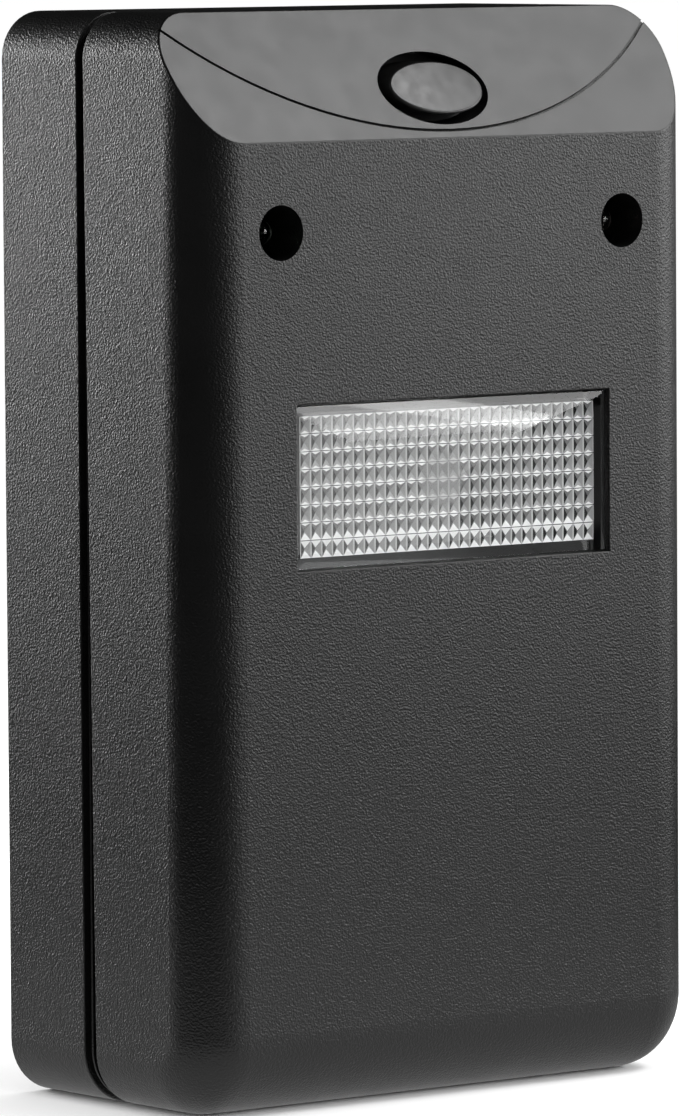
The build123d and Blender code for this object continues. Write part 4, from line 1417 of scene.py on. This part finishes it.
@dataclass
class AxialParts:
    """A row of parts that lie on the board, each with bands of paint and two bent leads."""

    node: str
    slot: str
    bands: tuple[tuple[float, Band], ...]
    body_share: float
    waist: float
    lead_radius: float = 0.25 * MM
    bend_radius: float = 0.6 * MM
    band_width: float = 0.45 * MM

    def build(self, body: Material, paints: dict[Band, Material], wire: Material) -> None:
        """Makes one part and copies it to every place where the frame has one.

        Args:
            body: The finish of the body.
            paints: The finish of each band's paint.
            wire: The finish of the leads.
        """
        boxes = solids_of(self.node)
        low, high = boxes[0]
        at, length = middle(boxes[0]), high.x - low.x
        half, radius = length * self.body_share / 2, (high.z - low.z) / 2
        shape = {"vertices": 32, "radius": radius, "depth": 2 * half}
        work = Bench("cylinder", "axial", location=at, rotation=(0, math.pi / 2, 0), **shape)
        edges = sorted({offset + side * self.band_width / 2 for offset, _ in self.bands for side in (-1, 1)})
        for offset in edges:
            work.slice((at.x + offset, 0, 0), (1, 0, 0))
        shoulder = half * 0.55
        for side in (-1, 1):
            work.slice((at.x + side * shoulder, 0, 0), (1, 0, 0))
            work.slice((at.x + side * half * 0.75, 0, 0), (1, 0, 0))
        work.pick_edges(lambda a, b: abs(a.x - b.x) < NEAR and abs(a.x - at.x) <= shoulder + NEAR)
        work.resize((1, self.waist, self.waist), at)
        work.paint(lambda place, normal: True, body)
        for offset, band in self.bands:
            self.paint_band(work, at.x + offset, paints[band])
        for side in (-1, 1):
            work.pick_end((side, 0, 0))
            work.bevel(0.3 * MM, 3)
        for side in (-1, 1):
            self.lead(work, side, radius, at, low.x if side < 0 else high.x)
        work.paint(lambda place, normal: abs(place.x - at.x) > half + NEAR, wire)
        first = work.done()
        copies = [copy_of(first, Matrix.Translation(middle(box) - at)) for box in boxes]
        bpy.data.objects.remove(first)
        fit(join(copies, f"banded_{self.node}"), self.node)

    def paint_band(self, work: Bench, x: float, paint: Material) -> None:
        """Paints the ring of faces at one place along the body."""
        work.paint(lambda place, normal: abs(place.x - x) < self.band_width / 2 - NEAR, paint)

    def lead(self, work: Bench, side: int, radius: float, at: Vector, end: float) -> None:
        """Draws one lead out of the body's end and bends it down into the board.

        Args:
            work: The part.
            side: -1 for the left lead and 1 for the right one.
            radius: The radius of the body's end.
            at: The part's middle.
            end: How far along X the lead may reach.
        """
        work.pick_end((side, 0, 0))
        mesh = bmesh.from_edit_mesh(work.piece.data)
        picked = [vert.co for vert in mesh.verts if vert.select]
        start = picked[0].x
        flat = max(math.hypot(point.y - at.y, point.z - at.z) for point in picked)
        work.extrude()
        work.resize((1, self.lead_radius / flat, self.lead_radius / flat), at)
        reach = abs(end - start) - self.bend_radius - self.lead_radius
        work.extrude(x=side * reach)
        pivot = (start + side * reach, at.y - self.bend_radius, at.z)
        bpy.ops.mesh.spin(steps=6, angle=math.pi / 2, center=pivot, axis=(0, 0, -side))
        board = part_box("circuit_board")
        work.extrude(y=board[0].y - 0.5 * MM - (at.y - self.bend_radius))


@dataclass
class DriverChip:
    """The eight-legged driver chip: drafted body, a dimple at leg one, and formed legs."""

    draft: float = 0.96
    dimple: float = 0.5 * MM
    dimple_depth: float = 0.2 * MM
    legs_a_side: int = 4
    leg_pitch: float = 2.54 * MM
    leg_width: float = 1.2 * MM
    leg_thickness: float = 0.26 * MM

    def build(self, body: Material, metal: Material) -> None:
        """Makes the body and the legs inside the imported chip's box.

        Args:
            body: The finish of the body.
            metal: The finish of the legs.
        """
        low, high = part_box("control_chip")
        at, half = (low + high) / 2, (high - low) / 2
        span = half.z - 0.8 * MM
        base = low.y + 0.6 * MM
        centre = Vector((at.x, (base + high.y) / 2, at.z))
        size = (2 * half.x, high.y - base, 2 * span)
        work = Bench("cube", "body", size=1.0, location=centre, scale=size)
        work.slice(centre, (0, 1, 0))
        for way in (1, -1):
            work.pick_end((0, way, 0))
            work.resize((self.draft, 1, self.draft), centre)
        bpy.ops.mesh.select_mode(type="EDGE")
        bpy.ops.mesh.select_all(action="SELECT")
        work.bevel(0.1 * MM, 2)
        made = work.done()
        spot = (at.x - half.x + 1.2 * MM, high.y, at.z - span + 1.2 * MM)
        shape = {"vertices": 24, "radius": self.dimple, "depth": self.dimple_depth}
        drill = Bench("cylinder", "drill", location=spot, rotation=ALONG_Y, **shape).done()
        apply_modifier(made, "BOOLEAN", {"operation": "DIFFERENCE", "object": drill})
        bpy.data.objects.remove(drill)
        made.data.materials.append(body)
        legs = self.legs(at, span, centre.y, low.y, metal)
        fit(join([made, *legs], "moulded_chip"), "control_chip")

    def legs(
        self, at: Vector, span: float, middle_y: float, foot_y: float, metal: Material
    ) -> list[Piece]:
        """Makes one formed leg and copies it four to a side.

        Args:
            at: The chip's middle.
            span: Half the width of its body.
            middle_y: The height at which the legs leave it.
            foot_y: Where the board is.
            metal: The finish of the legs.

        Returns:
            The eight legs.
        """
        thick = self.leg_thickness
        first_x = at.x - (self.legs_a_side - 1) / 2 * self.leg_pitch
        place = (first_x, middle_y, at.z + span)
        work = Bench("cube", "leg", size=1.0, location=place, scale=(self.leg_width, thick, thick))
        work.pick_end((0, 0, 1))
        work.extrude(z=0.25 * MM)
        work.extrude(z=thick)
        work.pick(lambda spot, normal: normal.y < -0.99 and spot.z > at.z + span + 0.3 * MM)
        work.extrude(y=(foot_y - middle_y) * 0.6)
        work.extrude(y=-0.2 * MM)
        work.resize((0.45, 1, 1), Vector((first_x, 0, at.z + span + 0.4 * MM)))
        work.extrude(y=(foot_y - middle_y) * 0.4)
        work.paint(lambda spot, normal: True, metal)
        first = work.done()
        about = Matrix.Translation((at.x, 0, at.z))
        turned = about @ Matrix.Rotation(math.pi, 4, "Y") @ about.inverted()
        made = []
        for step in range(self.legs_a_side):
            move = Matrix.Translation((step * self.leg_pitch, 0, 0))
            made += [copy_of(first, move), copy_of(first, turned @ move)]
        bpy.data.objects.remove(first)
        return made


@dataclass
class TransducerGauze:
    """The woven wire gauze that keeps dirt out of the transducer's mouth."""

    strands: int = 26
    wire: float = 0.16 * MM
    recess: float = 0.35 * MM
    wall: float = 0.6 * MM

    def build(self, metal: Material) -> None:
        """Weaves the gauze across the can's mouth.

        Args:
            metal: The finish of the wire.
        """
        low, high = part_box("transducer_can")
        at = (low + high) / 2
        radius = (high.x - low.x) / 2 - self.wall
        place = (at.x, at.y, low.z + self.recess)
        weave = {"x_subdivisions": self.strands, "y_subdivisions": self.strands}
        work = Bench("grid", "transducer_gauze", size=2 * radius, location=place, **weave)
        work.pick(lambda spot, normal: math.hypot(spot.x - at.x, spot.y - at.y) > radius * 0.97)
        bpy.ops.mesh.delete(type="FACE")
        piece = work.done()
        apply_modifier(piece, "WIREFRAME", {"thickness": self.wire, "use_boundary": True})
        piece.select_set(True)
        bpy.context.view_layer.objects.active = piece
        bpy.ops.object.mode_set(mode="EDIT")
        face_outwards()
        put_down_all()
        piece.data.materials.append(metal)
        fit(piece)


# ---------------------------------------------------------------------------------------------------------
# The whole object
# ---------------------------------------------------------------------------------------------------------


@dataclass
class Workshop:
    """Makes every finish once and hands them out by slot name."""

    made: dict[str, Material] = field(default_factory=dict)

    def stock(self) -> None:
        """Mixes all the finishes."""
        low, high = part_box("front_cover")
        self.made["case_plastic"] = CasePlastic(
            facet_point=(0.0, low.y, high.z - FACET_HEIGHT),
            facet_normal=tuple(Vector((0.0, -FACET_HEIGHT, FACET_SETBACK)).normalized()),
        ).build()
        for finish in FINISHES:
            self.made[finish.name] = finish.build()
        for band in Band:
            paint = MouldedPlastic(f"paint_{band.name.lower()}", band.value, 0.3, 0.1)
            self.made[paint.name] = paint.build()

    def bands(self) -> dict[Band, Material]:
        """The paints of the bands."""
        return {band: self.made[f"paint_{band.name.lower()}"] for band in Band}

    def dress_nodes(self) -> None:
        """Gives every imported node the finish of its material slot."""
        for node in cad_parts.values():
            for slot in node.material_slots:
                slot.material = self.made[slot.material.name.split(".")[0]]


def build_window(shop: Workshop) -> None:
    """Builds the lens and the frames inside the three clear lamps.

    Args:
        shop: Where the finishes come from.
    """
    WindowLens().build(shop.made["clear_plastic"])
    lamps = {"night_lamp": Glow.WHITE, "green_indicator": Glow.GREEN, "red_indicator": Glow.RED}
    for node, glow in lamps.items():
        die = MouldedPlastic(f"{node}_die", glow.value, 0.3).build()
        LampFrame(node, glow).build(shop.made["tinned_wire"], die)


def build_board(shop: Workshop) -> None:
    """Builds everything that sits on the board.

    Args:
        shop: Where the finishes come from.
    """
    made = shop.made
    BoardWork().build(made["solder"], made["lacquered_copper"])
    for node in ("smoothing_capacitor", "timing_capacitor"):
        CanCapacitor(node).build(made["can_sleeve"], made["sleeve_stripe"], made["can_aluminium"])
    CanCapacitor("fuse").build(*[made["can_sleeve"]] * 3)
    PlainBlock("film_capacitor", "film_box").build(made["film_box"])
    PlainBlock("bridge_rectifier", "chip_epoxy", corner=0.35 * MM).build(made["chip_epoxy"])
    WoundCoil().build(made["enamelled_copper"])
    colours = ((-1.6, Band.BROWN), (-0.7, Band.BLACK), (0.2, Band.RED), (1.6, Band.GOLD))
    bands = tuple((offset * MM, band) for offset, band in colours)
    AxialParts("resistors", "resistor_coat", bands, 0.56, 0.86).build(
        made["resistor_coat"], shop.bands(), made["tinned_wire"]
    )
    AxialParts("diodes", "chip_epoxy", ((1.5 * MM, Band.SILVER),), 0.5, 1.0).build(
        made["chip_epoxy"], shop.bands(), made["tinned_wire"]
    )
    DriverChip().build(made["chip_epoxy"], made["tinned_wire"])
    TransducerGauze().build(made["can_aluminium"])


def main() -> None:
    """Builds the scene in order and reports each piece."""
    logging.basicConfig(level=logging.INFO, format="%(message)s")
    cad_low, cad_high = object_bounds()
    shop = Workshop()
    shop.stock()
    shop.dress_nodes()
    build_window(shop)
    build_board(shop)
    Stage(floor_z=cad_low.z).build()
    put_down_all()
    bpy.context.view_layer.update()


if __name__ == "__main__":
    main()
